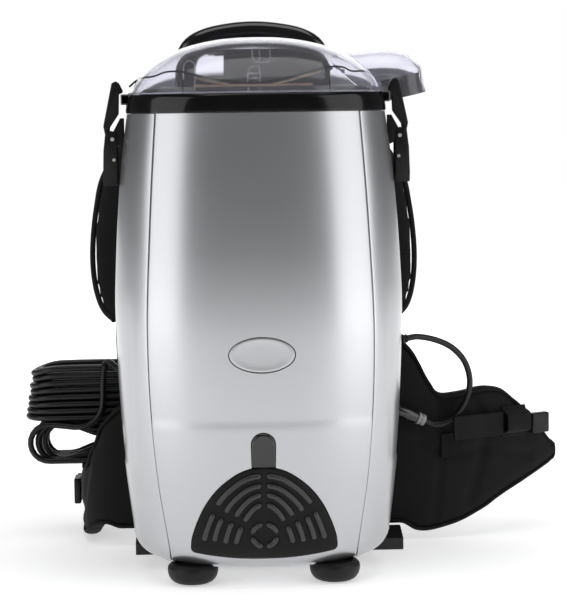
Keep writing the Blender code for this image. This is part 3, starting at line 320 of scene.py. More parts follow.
def clear_plastic():
    p = Paint("clear_lid", IOR=1.16, Transmission_Weight=0.95, Specular_IOR_Level=0.9, Coat_Weight=0.35,
              Coat_Roughness=0.03)
    p.colour(p.ramp(p.noise(9, 3, 0.5), [(0.3, (0.84, 0.84, 0.90)), (0.75, (0.90, 0.90, 0.95))]))
    p.roughness(p.ramp(p.noise(30, 4, 0.6), [(0.3, 0.04), (0.8, 0.08)]))
    p.bump(p.noise(16, 2, 0.4), 0.0004, 0.12)
    return p.material


# ---- making pieces ------------------------------------------------------------------------------
def piece(name, data, slot, body="casing", replaces=(), paint=None):
    """Link a finished mesh or curve, give it its material, and let it ride on its body."""
    obj = bpy.data.objects.new(name, data)
    data.materials.append(PAINTS[paint or slot])
    bpy.context.scene.collection.objects.link(obj)
    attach(obj, body)
    if replaces:
        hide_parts(*replaces)
    return obj


def mesh_of(name, bm, smooth=True, angle=40):
    bm.normal_update()
    bmesh.ops.recalc_face_normals(bm, faces=bm.faces)
    data = bpy.data.meshes.new(name)
    bm.to_mesh(data)
    bm.free()
    if smooth:
        data.shade_smooth()
        data.set_sharp_from_angle(angle=math.radians(angle))
    return data


def grid(name, rows, closed=False, caps=False, angle=40):
    """A mesh through rows of points; closed joins the last column to the first."""
    bm = bmesh.new()
    made = [[bm.verts.new(p) for p in row] for row in rows]
    count = len(rows[0])
    for low, high in zip(made, made[1:]):
        for i in range(count if closed else count - 1):
            j = (i + 1) % count
            bm.faces.new((low[i], low[j], high[j], high[i]))
    if caps:
        bm.faces.new(made[0])
        bm.faces.new(made[-1])
    return mesh_of(name, bm, angle=angle)


def applied(name, data, *steps):
    """Run modifiers on a mesh, each given as (kind, settings), and return the resulting mesh."""
    holder = bpy.data.objects.new(name, data)
    bpy.context.scene.collection.objects.link(holder)
    for kind, settings in steps:
        step = holder.modifiers.new(kind.lower(), kind)
        for key, value in settings.items():
            setattr(step, key, value)
    graph = bpy.context.evaluated_depsgraph_get()
    result = bpy.data.meshes.new_from_object(holder.evaluated_get(graph))
    result.name = name
    bpy.data.objects.remove(holder)
    return result


def carve(name, data, tools, operation="DIFFERENCE"):
    """Cut or join several closed meshes with one mesh."""
    holders = []
    steps = []
    for tool in tools:
        holder = bpy.data.objects.new(name + "_tool", tool)
        bpy.context.scene.collection.objects.link(holder)
        holders.append(holder)
        steps.append(("BOOLEAN", {"operation": operation, "solver": "EXACT", "object": holder}))
    result = applied(name, data, *steps)
    for holder in holders:
        bpy.data.objects.remove(holder)
    return result


def solid(name, data, thickness, offset=-1.0):
    return applied(name, data,
                   ("SOLIDIFY", {"thickness": thickness, "offset": offset, "use_even_offset": True}))


def rounded(name, data, width, segments=3, angle=35, levels=0):
    steps = [("BEVEL", {"width": width, "segments": segments, "limit_method": "ANGLE",
                        "angle_limit": math.radians(angle)})]
    if levels:
        steps.append(("SUBSURF", {"levels": levels}))
    made = applied(name, data, *steps)
    made.shade_smooth()
    made.set_sharp_from_angle(angle=math.radians(50))
    return made


def join(name, meshes):
    bm = bmesh.new()
    for data in meshes:
        bm.from_mesh(data)
        bpy.data.meshes.remove(data)
    data = bpy.data.meshes.new(name)
    bm.to_mesh(data)
    bm.free()
    return data


def box(name, low, high):
    bm = bmesh.new()
    bmesh.ops.create_cube(bm, size=1.0)
    low, high = Vector(low), Vector(high)
    bmesh.ops.scale(bm, vec=high - low, verts=bm.verts)
    bmesh.ops.translate(bm, vec=(low + high) / 2, verts=bm.verts)
    return mesh_of(name, bm, smooth=False)


def through(points, spacing):
    """A smooth route through the points, resampled evenly."""
    route = [Vector(p) for p in points]
    ends = [2 * route[0] - route[1]] + route + [2 * route[-1] - route[-2]]
    dense = []
    for a, b, c, d in zip(ends, ends[1:], ends[2:], ends[3:]):
        for i in range(24):
            t = i / 24
            dense.append(0.5 * (2 * b + (c - a) * t + (2 * a - 5 * b + 4 * c - d) * t ** 2
                                + (3 * b - a - 3 * c + d) * t ** 3))
    dense.append(route[-1])
    lengths = np.concatenate([[0], np.cumsum([(b - a).length for a, b in zip(dense, dense[1:])])])
    count = max(2, round(lengths[-1] / spacing))
    wanted = np.linspace(0, lengths[-1], count + 1)
    table = np.array([tuple(p) for p in dense])
    return [Vector(p) for p in np.stack([np.interp(wanted, lengths, table[:, k]) for k in range(3)], 1)]


def curve(name, points, radius, resolution=4, radii=None, cyclic=False):
    data = bpy.data.curves.new(name, "CURVE")
    data.dimensions = "3D"
    data.bevel_depth = radius
    data.bevel_resolution = resolution
    data.use_fill_caps = not cyclic
    spline = data.splines.new("POLY")
    spline.points.add(len(points) - 1)
    for i, point in enumerate(points):
        spline.points[i].co = (*point, 1)
        if radii is not None:
            spline.points[i].radius = radii[i]
    spline.use_cyclic_u = cyclic
    return data


def curve_mesh(name, points, radius, resolution=4, radii=None, cyclic=False):
    data = curve(name, points, radius, resolution, radii, cyclic)
    holder = bpy.data.objects.new(name, data)
    bpy.context.scene.collection.objects.link(holder)
    result = bpy.data.meshes.new_from_object(holder.evaluated_get(bpy.context.evaluated_depsgraph_get()))
    bpy.data.objects.remove(holder)
    result.shade_smooth()
    result.set_sharp_from_angle(angle=math.radians(45))
    return result


def prism(name, outline, low, high, axis="Y"):
    """Extrude a flat outline, given as (x, z) points for Y, (y, z) for X or (x, y) for Z."""
    order = {"Y": lambda u, v, w: (u, w, v), "X": lambda u, v, w: (w, u, v), "Z": lambda u, v,
             w: (u, v, w)}[axis]
    bm = bmesh.new()
    near = [bm.verts.new(order(u, v, low)) for u, v in outline]
    far = [bm.verts.new(order(u, v, high)) for u, v in outline]
    count = len(outline)
    for i in range(count):
        j = (i + 1) % count
        bm.faces.new((near[i], near[j], far[j], far[i]))
    bm.faces.new(near)
    bm.faces.new(far)
    return mesh_of(name, bm, smooth=False)


def spline_table(table, wanted):
    """Smooth curve through a table whose first column is the parameter."""
    x, y = table[:, 0], table[:, 1]
    slope = np.gradient(y, x)
    i = np.clip(np.searchsorted(x, wanted) - 1, 0, len(x) - 2)
    h = x[i + 1] - x[i]
    t = np.clip((wanted - x[i]) / h, 0, 1)
    return ((2 * t ** 3 - 3 * t ** 2 + 1) * y[i] + (t ** 3 - 2 * t ** 2 + t) * h * slope[i]
            + (3 * t ** 2 - 2 * t ** 3) * y[i + 1] + (t ** 3 - t ** 2) * h * slope[i + 1])


def step(a, b, x):
    t = np.clip((x - a) / (b - a), 0, 1)
    return t * t * (3 - 2 * t)


# ---- casing surface -----------------------------------------------------------------------------
def wall(z):
    """Half width and front depth of the casing at heights z."""
    z = np.asarray(z, float)
    drop = np.clip(SECTIONS[0, 0] - z, 0, FLOOR_ROUND)
    inset = FLOOR_ROUND - np.sqrt(np.maximum(FLOOR_ROUND ** 2 - drop ** 2, 0))
    held = np.maximum(z, SECTIONS[0, 0])
    return spline_table(SECTIONS[:, :2], held) - inset, spline_table(SECTIONS[:, ::2], held) - inset


def seam(z):
    return spline_table(SEAM, np.asarray(z, float))


def relief(x, z):
    """How far the moulding stands out of the plain curve: the swell below the crease, the side recess."""
    swell = 0.0006 * (1 - step(0.156, 0.168, z)) * step(0.030, 0.060, z)
    panel = swell * (np.abs(x) < seam(z))
    side = (np.abs(x) - 0.1215) / 0.006
    recess = -0.0012 * np.clip(side, 0, 1) * step(0.112, 0.120, z) * (1 - step(0.225, 0.290, z))
    return panel + recess


def front(x, z, lift=0.0):
    """A point on the front of the casing, lifted out of it."""
    half, depth = wall(z)
    share = np.clip(np.abs(x) / half, 0, 0.9995)
    return Vector((x, SPLIT_Y - float(depth) * (1 - float(share) ** FRONT_POWER) ** (1 / FRONT_POWER) - lift,
                   z))


def front_grid(columns, heights):
    """Rows of points; each column gives x and an inward depth at a height."""
    rows = []
    for z in heights:
        half, depth = (float(v) for v in wall(z))
        row = []
        for x, sunk in columns(z, half):
            share = min(abs(x) / half, 1.0)
            y = SPLIT_Y - depth * (1 - share ** FRONT_POWER) ** (1 / FRONT_POWER)
            out = Vector((math.copysign(share ** (FRONT_POWER - 1) / half, x),
                          -(max(0.0, (SPLIT_Y - y) / depth)) ** (FRONT_POWER - 1) / depth, 0))
            out.normalize()
            shift = float(relief(np.float64(x), np.float64(z))) - sunk
            row.append(Vector((x, y, z)) + out * shift)
        rows.append(row)
    return rows


EDGE = ((0.0016, 0.0), (0.0009, 0.00005), (0.0005, 0.0003), (0.0003, 0.0008), (0.0003, 0.0024))
TURN = [0.0200, 0.02003, 0.0202, 0.0207, 0.0215, 0.0228, 0.0246, 0.0268, 0.0295, 0.0330, 0.0370, 0.0415,
        0.0460]
HEIGHTS = TURN + list(np.linspace(0.0495, 0.4585, 132)) + [0.4594, 0.4598, 0.4600]


def panel_columns(z, half):
    width = float(seam(z))
    inner = [(width - gap, sunk) for gap, sunk in EDGE]
    middle = [(x, 0.0) for x in np.linspace(-(width - 0.004), width - 0.004, 101)]
    return [(-x, sunk) for x, sunk in reversed(inner)] + middle + inner


def side_columns(side):
    def columns(z, half):
        width = float(seam(z))
        inner = [(side * (width + gap), sunk) for gap, sunk in reversed(EDGE)]
        start = math.acos(((width + 0.004) / half) ** (FRONT_POWER / 2))
        rest = [(side * half * math.cos(t) ** (2 / FRONT_POWER), 0.0) for t in np.linspace(start, 0.0, 34)]
        return inner + rest
    return columns


def outline_prism(name, outline, grow):
    centre = np.mean(outline, 0)
    away = outline - centre
    away = away / np.linalg.norm(away, axis=1)[:, None]
    return prism(name, [tuple(p) for p in outline + away * grow], -0.240, -0.165)


def plate(name, outline, lift, edge, depth, rings=10, dish=0.0):
    """A piece of the casing's front inside a closed outline, with rounded edges."""
    outline = np.asarray(outline)
    centre = outline.mean(0)
    away = outline - centre
    reach = np.linalg.norm(away, axis=1)[:, None]
    rows = []
    for share in np.linspace(0.02, 1.0, rings):
        points = centre + away * share * (1 - edge / reach)
        rows.append([front(x, z, lift - dish * (1 - share ** 4)) for x, z in points])
    for degrees in (25, 50, 75, 90):
        t = math.radians(degrees)
        points = centre + away * (1 - edge / reach * (1 - math.sin(t)))
        rows.append([front(x, z, lift - edge * (1 - math.cos(t))) for x, z in points])
    rows.append([front(x, z, lift - depth) for x, z in outline])
    rows.append([front(x, z, lift - depth) for x, z in centre + away * 0.02])
    return grid(name, rows, closed=True, caps=True, angle=60)


def closed_through(points, count):
    """A smooth closed outline through its corner points."""
    route = [Vector((*p, 0)) for p in points]
    dense = []
    n = len(route)
    for k in range(n):
        a, b, c, d = route[k - 1], route[k], route[(k + 1) % n], route[(k + 2) % n]
        for i in range(20):
            t = i / 20
            dense.append(0.5 * (2 * b + (c - a) * t + (2 * a - 5 * b + 4 * c - d) * t ** 2
                                + (3 * b - a - 3 * c + d) * t ** 3))
    table = np.array([tuple(p)[:2] for p in dense + dense[:1]])
    lengths = np.concatenate([[0], np.cumsum(np.linalg.norm(np.diff(table, axis=0), axis=1))])
    wanted = np.linspace(0, lengths[-1], count, endpoint=False)
    return np.stack([np.interp(wanted, lengths, table[:, k]) for k in range(2)], 1)


def mirrored(right, top=None, bottom=None):
    points = list(right)
    middle = [top] if top else []
    return ([bottom] if bottom else []) + points + middle + [(-x, z) for x, z in reversed(points)]


GRILLE = closed_through(mirrored(
    [(0.024, 0.0309), (0.046, 0.0330), (0.0655, 0.0358), (0.0700, 0.0385), (0.0706, 0.0435), (0.0692, 0.0530),
     (0.0640, 0.0680), (0.0560, 0.0845), (0.0440, 0.1005), (0.0280, 0.1135), (0.0140, 0.1198)],
    top=(0.0, 0.1215), bottom=(0.0, 0.0304)), 200)
OVAL = np.array([(0.0316 * math.cos(t), 0.2300 + 0.0168 * math.sin(t))
                 for t in np.linspace(0, 2 * math.pi, 96, False)])
TAB = np.array([(0.0115, 0.1210), (0.0115, 0.1330), (0.0115, 0.1430)]
               + [(0.0115 * math.cos(t), 0.1440 + 0.0110 * math.sin(t))
                  for t in np.linspace(0.15, math.pi - 0.15, 17)]
               + [(-0.0115, 0.1430), (-0.0115, 0.1330), (-0.0115, 0.1210)])


def make_casing():
    panel = solid("front_panel_skin", grid("p", front_grid(panel_columns, HEIGHTS)), 0.0028)
    tools = [outline_prism("grille_hole", GRILLE, 0.0006), outline_prism("oval_hole", OVAL, 0.0007),
             outline_prism("tab_hole", TAB, 0.0006)]
    panel = carve("front_panel_skin", panel, tools)
    panel.shade_smooth()
    panel.set_sharp_from_angle(angle=math.radians(32))
    piece("front_panel_skin", panel, "silver_paint", replaces=["front_panel"])

    sides = []
    for side in (-1, 1):
        sides.append(solid("side_skin", grid("s", front_grid(side_columns(side), HEIGHTS)), 0.0028))
    floor = [[Vector((x * share, SPLIT_Y + y * share, 0.0202)) for x, y in ring_points(0.0201, 60)]
             for share in (1.0, 0.8, 0.5, 0.02)]
    sides.append(solid("floor_skin", grid("f", floor, caps=False), 0.0025))
    shell = join("body_shell_skin", sides)
    shell.shade_smooth()
    shell.set_sharp_from_angle(angle=math.radians(32))
    piece("body_shell_skin", shell, "silver_paint", replaces=["body_shell"])

    inset = plate("oval_plate", OVAL, -0.0002, 0.0011, 0.0022, dish=0.0004)
    piece("oval_plate", inset, "silver_paint", replaces=["oval_badge"])
    make_rear()


def ring_points(z, count):
    """Front half of the casing's outline at a height, from +X to -X, relative to the joint plane."""
    half, depth = (float(v) for v in wall(z))
    points = []
    for t in np.linspace(0, math.pi, count + 1):
        c, s = math.cos(t), math.sin(t)
        points.append((half * math.copysign(abs(c) ** (2 / FRONT_POWER), c),
                       -depth * abs(s) ** (2 / FRONT_POWER)))
    return points


def make_rear():
    """Black rear shell with a moulded groove near its top, a rounded floor and the cut-outs for switch and
    strain relief.
    """
    rows = []
    for z in TURN + list(np.linspace(0.050, 0.4580, 90)) + [0.4596, 0.4600]:
        half, _ = (float(v) for v in wall(z))
        inset = FLOOR_ROUND - math.sqrt(max(FLOOR_ROUND ** 2 - max(0.046 - z, 0) ** 2, 0))
        depth = REAR_DEPTH - inset
        row = []
        for t in np.linspace(0, math.pi, 97):
            c, s = math.cos(t), math.sin(t)
            x = half * math.copysign(abs(c) ** (2 / REAR_POWER), c)
            y = depth * abs(s) ** (2 / REAR_POWER)
            groove = 0.0008 * math.exp(-((z - 0.452) / 0.0016) ** 2)
            scale = 1 - groove / half
            row.append(Vector((x * scale, SPLIT_Y + 0.0003 + y * scale, z)))
        rows.append(row)
    floor = [[Vector((p.x * s, SPLIT_Y + 0.0003 + (p.y - SPLIT_Y - 0.0003) * s, 0.0200)) for p in rows[0]]
             for s in (0.02, 0.5, 0.9)]
    shell = solid("rear_shell_skin", grid("r", floor + rows), 0.0028)
    switch = Vector((0.1365, -0.075, 0.303))
    reach = Vector((0.016, 0.0124, 0.0174))
    start, direction = gland_axis()
    bore = curve_mesh("bore", [start - direction * 0.03, start + direction * 0.03], 0.0083, 6)
    shell = carve("rear_shell_skin", shell, [box("hole", switch - reach, switch + reach), bore])
    shell.shade_smooth()
    shell.set_sharp_from_angle(angle=math.radians(32))
    piece("rear_shell_skin", shell, "black_casing", replaces=["rear_shell"])
    low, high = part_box("switch_bezel")
    rim = rounded("bezel", box("bezel", low, high), 0.0008)
    pocket = box("pocket", switch + Vector((-0.0058, -0.0083, -0.0141)),
                 switch + Vector((0.0100, 0.0083, 0.0141)))
    piece("switch_bezel_skin", carve("switch_bezel_skin", rim, [pocket]), "black_casing",
          replaces=["switch_bezel"])


def gland_axis():
    return Vector((0.1235, -0.0460, 0.2190)), Vector((0.955, 0.28, 0.10)).normalized()


# ---- exhaust grille -----------------------------------------------------------------------------
ARCHES = [
    [(0.0026, 0.1135), (0.0115, 0.1120), (0.0200, 0.1087), (0.0290, 0.1022), (0.0370, 0.0951),
     (0.0452, 0.0850)],
    [(0.0026, 0.1041), (0.0113, 0.1021), (0.0193, 0.0977), (0.0268, 0.0914), (0.0328, 0.0846),
     (0.0371, 0.0776)],
    [(0.0026, 0.0953), (0.0097, 0.0927), (0.0161, 0.0881), (0.0220, 0.0818), (0.0277, 0.0736)],
    [(0.0026, 0.0855), (0.0086, 0.0822), (0.0140, 0.0766), (0.0193, 0.0687)],
]
BARS = [
    [(0.0487, 0.0763), (0.0541, 0.0623), (0.0583, 0.0489)],
    [(0.0406, 0.0719), (0.0452, 0.0605), (0.0485, 0.0486)],
    [(0.0312, 0.0677), (0.0352, 0.0570), (0.0379, 0.0468)],
    [(0.0220, 0.0634), (0.0253, 0.0549), (0.0279, 0.0462)],
]


def bead(route, lift, radius=0.0021):
    """A raised rounded rib that follows the casing's curve."""
    flat = through([(x, 0, z) for x, z in route], 0.0016)
    points = [front(p.x, p.z, lift) for p in flat]
    count = len(points)
    radii = [min(1.0,
                 math.sqrt(max(0.05, 1 - (1 - min(i, count - 1 - i) / 1.6) ** 2))
                 if min(i, count - 1 - i) < 1.6
                 else 1.0) for i in range(count)]
    return curve_mesh("bead", points, radius, 4, radii)


def make_grille():
    lift = 0.0012
    door = plate("exhaust_grille_plate", GRILLE, lift, 0.0016, 0.0030, rings=14)
    # The plate takes the darker grille finish: painted shade for the slots between the ribs.
    piece("exhaust_grille_plate", door, "grille_black", "grille", ["exhaust_grille"], "grille_web")
    beads = []
    for route in ARCHES + BARS:
        for side in (-1, 1):
            beads.append(bead([(side * x, z) for x, z in route], lift + 0.0008, 0.0029))
    for start in (8, 98, 188, 278):
        turn = [math.radians(start + k * 74 / 6) for k in range(7)]
        line = [(0.0120 * math.cos(t), 0.0546 + 0.0110 * math.sin(t)) for t in turn]
        beads.append(bead(line, lift + 0.0008, 0.0027))
    piece("exhaust_grille_ribs", join("exhaust_grille_ribs", beads), "grille_black", "grille")
    catch = plate("grille_tab_skin", TAB, 0.0022, 0.0024, 0.0040, rings=8)
    piece("grille_tab_skin", catch, "black_gloss", "tab", ["grille_tab"])


# ---- lid and inlet ------------------------------------------------------------------------------
LID_HEIGHT = 0.074
LID_POWER = 2.2
INLET = Vector((0.147, -0.062, 0.497))
SPOUT = Vector((math.sin(math.radians(12)), 0, -math.cos(math.radians(12))))


def lid_ring(inset, share, z, count=72):
    scale = (1 - share ** LID_POWER) ** (1 / LID_POWER)
    half = (0.128 - inset) * scale
    ahead, behind = (0.095 - inset) * scale, (REAR_DEPTH - inset) * scale
    ring = []
    for k in range(2 * count):
        t = math.pi * k / count
        c, s = math.cos(t), math.sin(t)
        power, depth = (FRONT_POWER, -ahead) if k <= count else (REAR_POWER, -behind)
        ring.append(Vector((half * math.copysign(abs(c) ** (2 / power), c), SPLIT_Y + depth * math.copysign(
            abs(s) ** (2 / power), s), z)))
    return ring


def lid_dome(name, wall_inset, base):
    height = LID_HEIGHT - wall_inset
    rings = [lid_ring(wall_inset, 0.0, base)]
    for share in (0.06, 0.12, 0.2, 0.28, 0.36, 0.44, 0.52, 0.6, 0.68, 0.75, 0.81, 0.86, 0.9, 0.935, 0.965,
                  0.985, 0.997):
        rings.append(lid_ring(wall_inset, share, RIM_Z + 0.0003 + share * height))
    return grid(name, rings, closed=True, caps=True, angle=60)


def make_lid():
    thick = 0.0024
    mouth = INLET + SPOUT * 0.024
    duct = [Vector((0.070, -0.075, 0.494)), Vector((0.105, -0.069, 0.4955)), Vector((0.128, -0.0652, 0.4975)),
            Vector((0.142, -0.0628, 0.4965)), INLET + Vector((0.0022, 0, -0.0030)), INLET + SPOUT * 0.010,
            mouth]
    outer_route = through(duct, 0.004)
    inner_route = through([duct[0] - Vector((0.03, 0.0051, 0))] + duct[:-1] + [mouth + SPOUT * 0.004], 0.004)
    outer = curve_mesh("outer", outer_route, 0.0233, 12)
    inner = curve_mesh("inner", inner_route, 0.0233 - thick, 12)
    shell = carve("lid_shell", lid_dome("lid_shell", 0.0, RIM_Z + 0.0003), [outer], "UNION")
    shell = carve("lid_shell", shell, [lid_dome("hollow", thick, RIM_Z - 0.01), inner])
    shell.shade_smooth()
    shell.set_sharp_from_angle(angle=math.radians(40))
    piece("lid_shell", shell, "clear_lid", "lid", ["lid"])
    make_lid_details()


def lid_point(x, y, inset=0.0):
    """Height of the dome over a point in plan."""
    half, ahead, behind = 0.128 - inset, 0.095 - inset, REAR_DEPTH - inset
    away = y - SPLIT_Y
    power, depth = (FRONT_POWER, ahead) if away < 0 else (REAR_POWER, behind)
    radial = ((abs(x) / half) ** power + (abs(away) / depth) ** power) ** (1 / power)
    radial = min(radial, 0.9999)
    share = (1 - radial ** LID_POWER) ** (1 / LID_POWER)
    return Vector((x, y, RIM_Z + 0.0003 + share * (LID_HEIGHT - inset)))


def make_lid_details():
    """Dark line inside the clear lid, painted shade where its crease would show, ribs and clips inside the
    clear lid, and its lugs under the latch hooks.
    """
    # Painted shade: a black line drawn where the crease between the lid's front wall and its top shows dark;
    # the dome itself has no crease.
    crease = [(-0.1245, 0.4865), (-0.115, 0.4935), (-0.099, 0.4955), (-0.087, 0.4995), (-0.073, 0.4995),
              (-0.060, 0.4965), (-0.045, 0.4925), (-0.028, 0.4900), (-0.010, 0.4880), (0.012, 0.4890),
              (0.030, 0.4925), (0.049, 0.4975), (0.068, 0.5020), (0.083, 0.5020), (0.092, 0.4980),
              (0.106, 0.4980), (0.114, 0.4940), (0.1195, 0.4875)]
    route = [inside_front(p.x, p.z) for p in through([(x, 0, z) for x, z in crease], 0.003)]
    piece("lid_crease_shade", curve_mesh("lid_crease_shade", route, 0.0010, 3), "black_gloss", "lid")
    strips = []
    for low, high in ((-0.060, -0.026), (0.014, 0.064)):
        part = [p + Vector((0, 0.0010, -0.0026)) for p in route if low < p.x < high]
        strips.append(curve_mesh("strip", part, 0.0014, 3,
                                 [max(0.3, math.sin(math.pi * (i + 1) / (len(part) + 1)) ** 0.5)
                                                            for i in range(len(part))]))
    piece("bag_edge", join("bag_edge", strips), "bag_paper", "lid")
    ribs = []
    for x in (-0.0705, 0.0690):
        ribs.append(curve_mesh("rib", [inside_front(x, z, 0.0012) for z in np.linspace(0.4625, 0.4915, 8)],
                               0.0012, 3))
    piece("lid_ribs", join("lid_ribs", ribs), "black_gloss", "lid")
    clips = []
    for outline in (
        [(-0.070, 0.478), (-0.070, 0.503), (-0.067, 0.509), (-0.062, 0.509), (-0.059, 0.503),
         (-0.060, 0.478)],
        [(-0.009, 0.479), (-0.009, 0.497), (-0.006, 0.502), (0.002, 0.502), (0.002, 0.479)],
        [(-0.008, 0.497), (0.001, 0.497)], [(-0.008, 0.492), (0.001, 0.492)],
        [(-0.004, 0.524), (-0.004, 0.514), (-0.001, 0.508), (0.011, 0.508), (0.013, 0.514), (0.013, 0.524)],
        [(0.003, 0.524), (0.003, 0.508)],
    ):
        route = through([inside_front(x, z, 0.0010) for x, z in outline], 0.0015)
        clips.append(curve_mesh("clip", route, 0.0007, 2))
    piece("lid_clips", join("lid_clips", clips), "clear_lid", "lid")
    lugs = []
    for side in (-1, 1):
        low = (side * 0.1245 if side > 0 else -0.1338, -0.1165, 0.4690)
        high = (0.1338 if side > 0 else -0.1245, -0.1035, 0.4795)
        lugs.append(rounded("lug", box("lug", low, high), 0.0012))
    piece("lid_lugs", join("lid_lugs", lugs), "collar_grey", "lid")
    bead_ring = lid_ring(-0.0006, 0.0, 0.4797, 72)
    piece("lid_bead",
          curve_mesh("lid_bead", [lid_skin(p, 0.4797) for p in bead_ring], 0.0009, 3, cyclic=True),
          "clear_lid", "lid")
    skirt = [[lid_skin(p, z) for p in lid_ring(inset, 0.0, z)] for inset, z in (
        (-0.0001, 0.4607), (-0.0008, 0.4607), (-0.0010, 0.4640), (-0.0010, 0.4730), (-0.0008, 0.4778),
        (-0.0002, 0.4784), (0.0002, 0.4780))]
    piece("lid_skirt", grid("lid_skirt", skirt + skirt[:1], closed=True, angle=50), "black_gloss", "lid")
    make_liner()


def make_liner():
    """Painted shade: a dark sheet inside the back of the dome, with an open window, standing in for the shade
    of the inside seen through the lid; and the shroud round the bag's mouth.
    """
    # The sheet below is painted shade: it darkens what is seen through the lid and is no part of the machine.
    columns = np.linspace(-0.0785, 0.0765, 50)
    bm = bmesh.new()
    rows = []
    for y in list(np.linspace(-0.1180, -0.0360, 34)):
        row = []
        for x in columns:
            p = lid_point(x, y, inset=0.0062)
            lens = 1 - (abs(x + 0.001) / 0.0785) ** 3.0
            ceiling = 0.4995 + 0.0240 * max(lens, 0) ** 0.6
            row.append(bm.verts.new((x, y, min(p.z, ceiling) - 0.0012)))
        rows.append(row)
    foot = [bm.verts.new((v.co.x, v.co.y + 0.0006, 0.4690)) for v in rows[-1]]
    middle = [bm.verts.new((v.co.x, v.co.y + 0.0003, 0.4690 + (v.co.z - 0.4690) / 2)) for v in rows[-1]]
    rows += [middle, foot]
    for a, b in zip(rows, rows[1:]):
        for i in range(len(columns) - 1):
            centre = (a[i].co + a[i + 1].co + b[i].co + b[i + 1].co) / 4
            if -0.060 < centre.x < -0.031 and 0.498 < centre.z < 0.519:
                continue
            bm.faces.new((a[i], a[i + 1], b[i + 1], b[i]))
    piece("lid_shade_sheet", solid("lid_shade_sheet", mesh_of("lid_shade_sheet", bm), 0.0011, 0.0), "black_gloss", "lid")
    rings = [lid_ring(inset, 0.0, z) for inset, z in (
        (0.0120, 0.4640), (0.0122, 0.4760), (0.0140, 0.4815), (0.0180, 0.4842), (0.0260, 0.4850),
        (0.0262, 0.4838),
        (0.0190, 0.4828), (0.0155, 0.4800), (0.0138, 0.4640))]
    piece("bag_shroud", grid("bag_shroud", rings + rings[:1], closed=True, angle=60), "black_casing")


def inside_front(x, z, back=0.0004):
    """A point just inside the front of the dome, at a height."""
    share = max(0.0, (z - RIM_Z) / LID_HEIGHT)
    scale = (1 - share ** LID_POWER) ** (1 / LID_POWER)
    half, ahead = 0.1256 * scale, 0.0926 * scale
    away = (1 - min(abs(x) / half, 0.99) ** FRONT_POWER) ** (1 / FRONT_POWER)
    return Vector((x, SPLIT_Y - ahead * away + back, z))


def lid_skin(point, z):
    """Bring a point of the lid's rim outline up to height z on the dome."""
    share = (z - RIM_Z) / LID_HEIGHT
    scale = (1 - share ** LID_POWER) ** (1 / LID_POWER)
    return Vector((point.x * scale, SPLIT_Y + (point.y - SPLIT_Y) * scale, z))


# ---- neck ring, bag, feet -----------------------------------------------------------------------
def make_neck():
    rings = []
    for inset, z in ((0.0037, 0.4500), (0.0037, 0.4600), (0.0040, 0.4725), (0.0052, 0.4768), (0.0075, 0.4775),
                     (0.0100, 0.4762), (0.0108, 0.4500)):
        rings.append(lid_ring(inset, 0.0, z))
    data = grid("neck_ring", rings + rings[:1], closed=True, angle=60)
    piece("neck_ring", data, "black_gloss", replaces=["rim_ring"])


def make_bag():
    """Paper bag with creases."""
    rings = []
    for z, share in ((0.258, 0.55), (0.262, 0.74), (0.272, 0.86), (0.290, 0.93), (0.320, 0.95),
                     (0.360, 0.955),
                     (0.400, 0.95), (0.430, 0.945), (0.455, 0.93), (0.468, 0.915), (0.476, 0.88),
                     (0.481, 0.80),
                     (0.484, 0.66), (0.4842, 0.30), (0.4843, 0.02)):
        half = 0.112 * share
        ring = []
        for k in range(96):
            t = 2 * math.pi * k / 96
            c, s = math.cos(t), math.sin(t)
            power, depth = (2.4, 0.080) if s < 0 else (2.8, 0.062)
            ring.append(Vector((half * math.copysign(abs(c) ** (2 / power), c), SPLIT_Y - 0.004
                                + depth * share * math.copysign(abs(s) ** (2 / power), s), z)))
        for p in ring:
            crease = noise.noise(Vector((p.x * 40, p.y * 40, p.z * 18))) * 0.0022
            away = Vector((p.x, p.y - SPLIT_Y, 0))
            if away.length > 0.01:
                p += away.normalized() * (crease - 0.001)
        rings.append(ring)
    piece("dust_bag_paper", grid("dust_bag_paper", rings, closed=True, caps=True, angle=80), "bag_paper",
          replaces=["dust_bag"])


def make_feet():
    """Rubber feet: domes with a worn flat."""
    profile = [(0.0, 0.0197), (0.0195, 0.0197), (0.0222, 0.0192), (0.0243, 0.0170), (0.0250, 0.0140),
               (0.0247, 0.0105), (0.0238, 0.0072), (0.0222, 0.0045), (0.0200, 0.0022), (0.0172, 0.0007),
               (0.0145, 0.0), (0.0, 0.0)]
    for word, x in (("left", -0.070), ("right", 0.070)):
        rows = [[Vector((x + max(r, 0.0002) * math.cos(a), -0.170 + max(r, 0.0002) * math.sin(a), z))
                 for a in np.linspace(0, 2 * math.pi, 64, False)] for r, z in profile]
        name = f"foot_{word}_rubber"
        piece(name, grid(name, rows, closed=True, caps=True, angle=70), "black_rubber",
              replaces=["foot_" + word])


# ---- handle and latches -------------------------------------------------------------------------
def make_handle():
    """Arched grip of even, rounded section."""
    y = -0.004 + 0.0003 + 0.011
    reach = 0.0715
    route = [(-reach, y, 0.440), (-reach, y, 0.470), (-reach, y, 0.498), (-reach + 0.0012, y, 0.514),
             (-0.0640, y, 0.5285), (-0.0480, y, 0.5375), (-0.0240, y, 0.5425), (0.0, y, 0.5442)]
    route += [(-x, h, z) for x, h, z in reversed(route[:-1])]
    points = through(route, 0.004)
    rows = []
    for i, p in enumerate(points):
        ahead = (points[min(i + 1, len(points) - 1)] - points[max(i - 1, 0)]).normalized()
        side = Vector((0, 1, 0))
        up = side.cross(ahead).normalized()
        ring = []
        for k in range(28):
            t = 2 * math.pi * k / 28
            c, s = math.cos(t), math.sin(t)
            wide = 0.0110 * math.copysign(abs(c) ** 0.8, c)
            tall = 0.0110 * math.copysign(abs(s) ** 0.8, s)
            ring.append(p + side * wide + up * tall)
        rows.append(ring)
    data = grid("carry_handle_grip", rows, closed=True, caps=True, angle=60)
    piece("carry_handle_grip", data, "black_gloss", replaces=["carry_handle"])


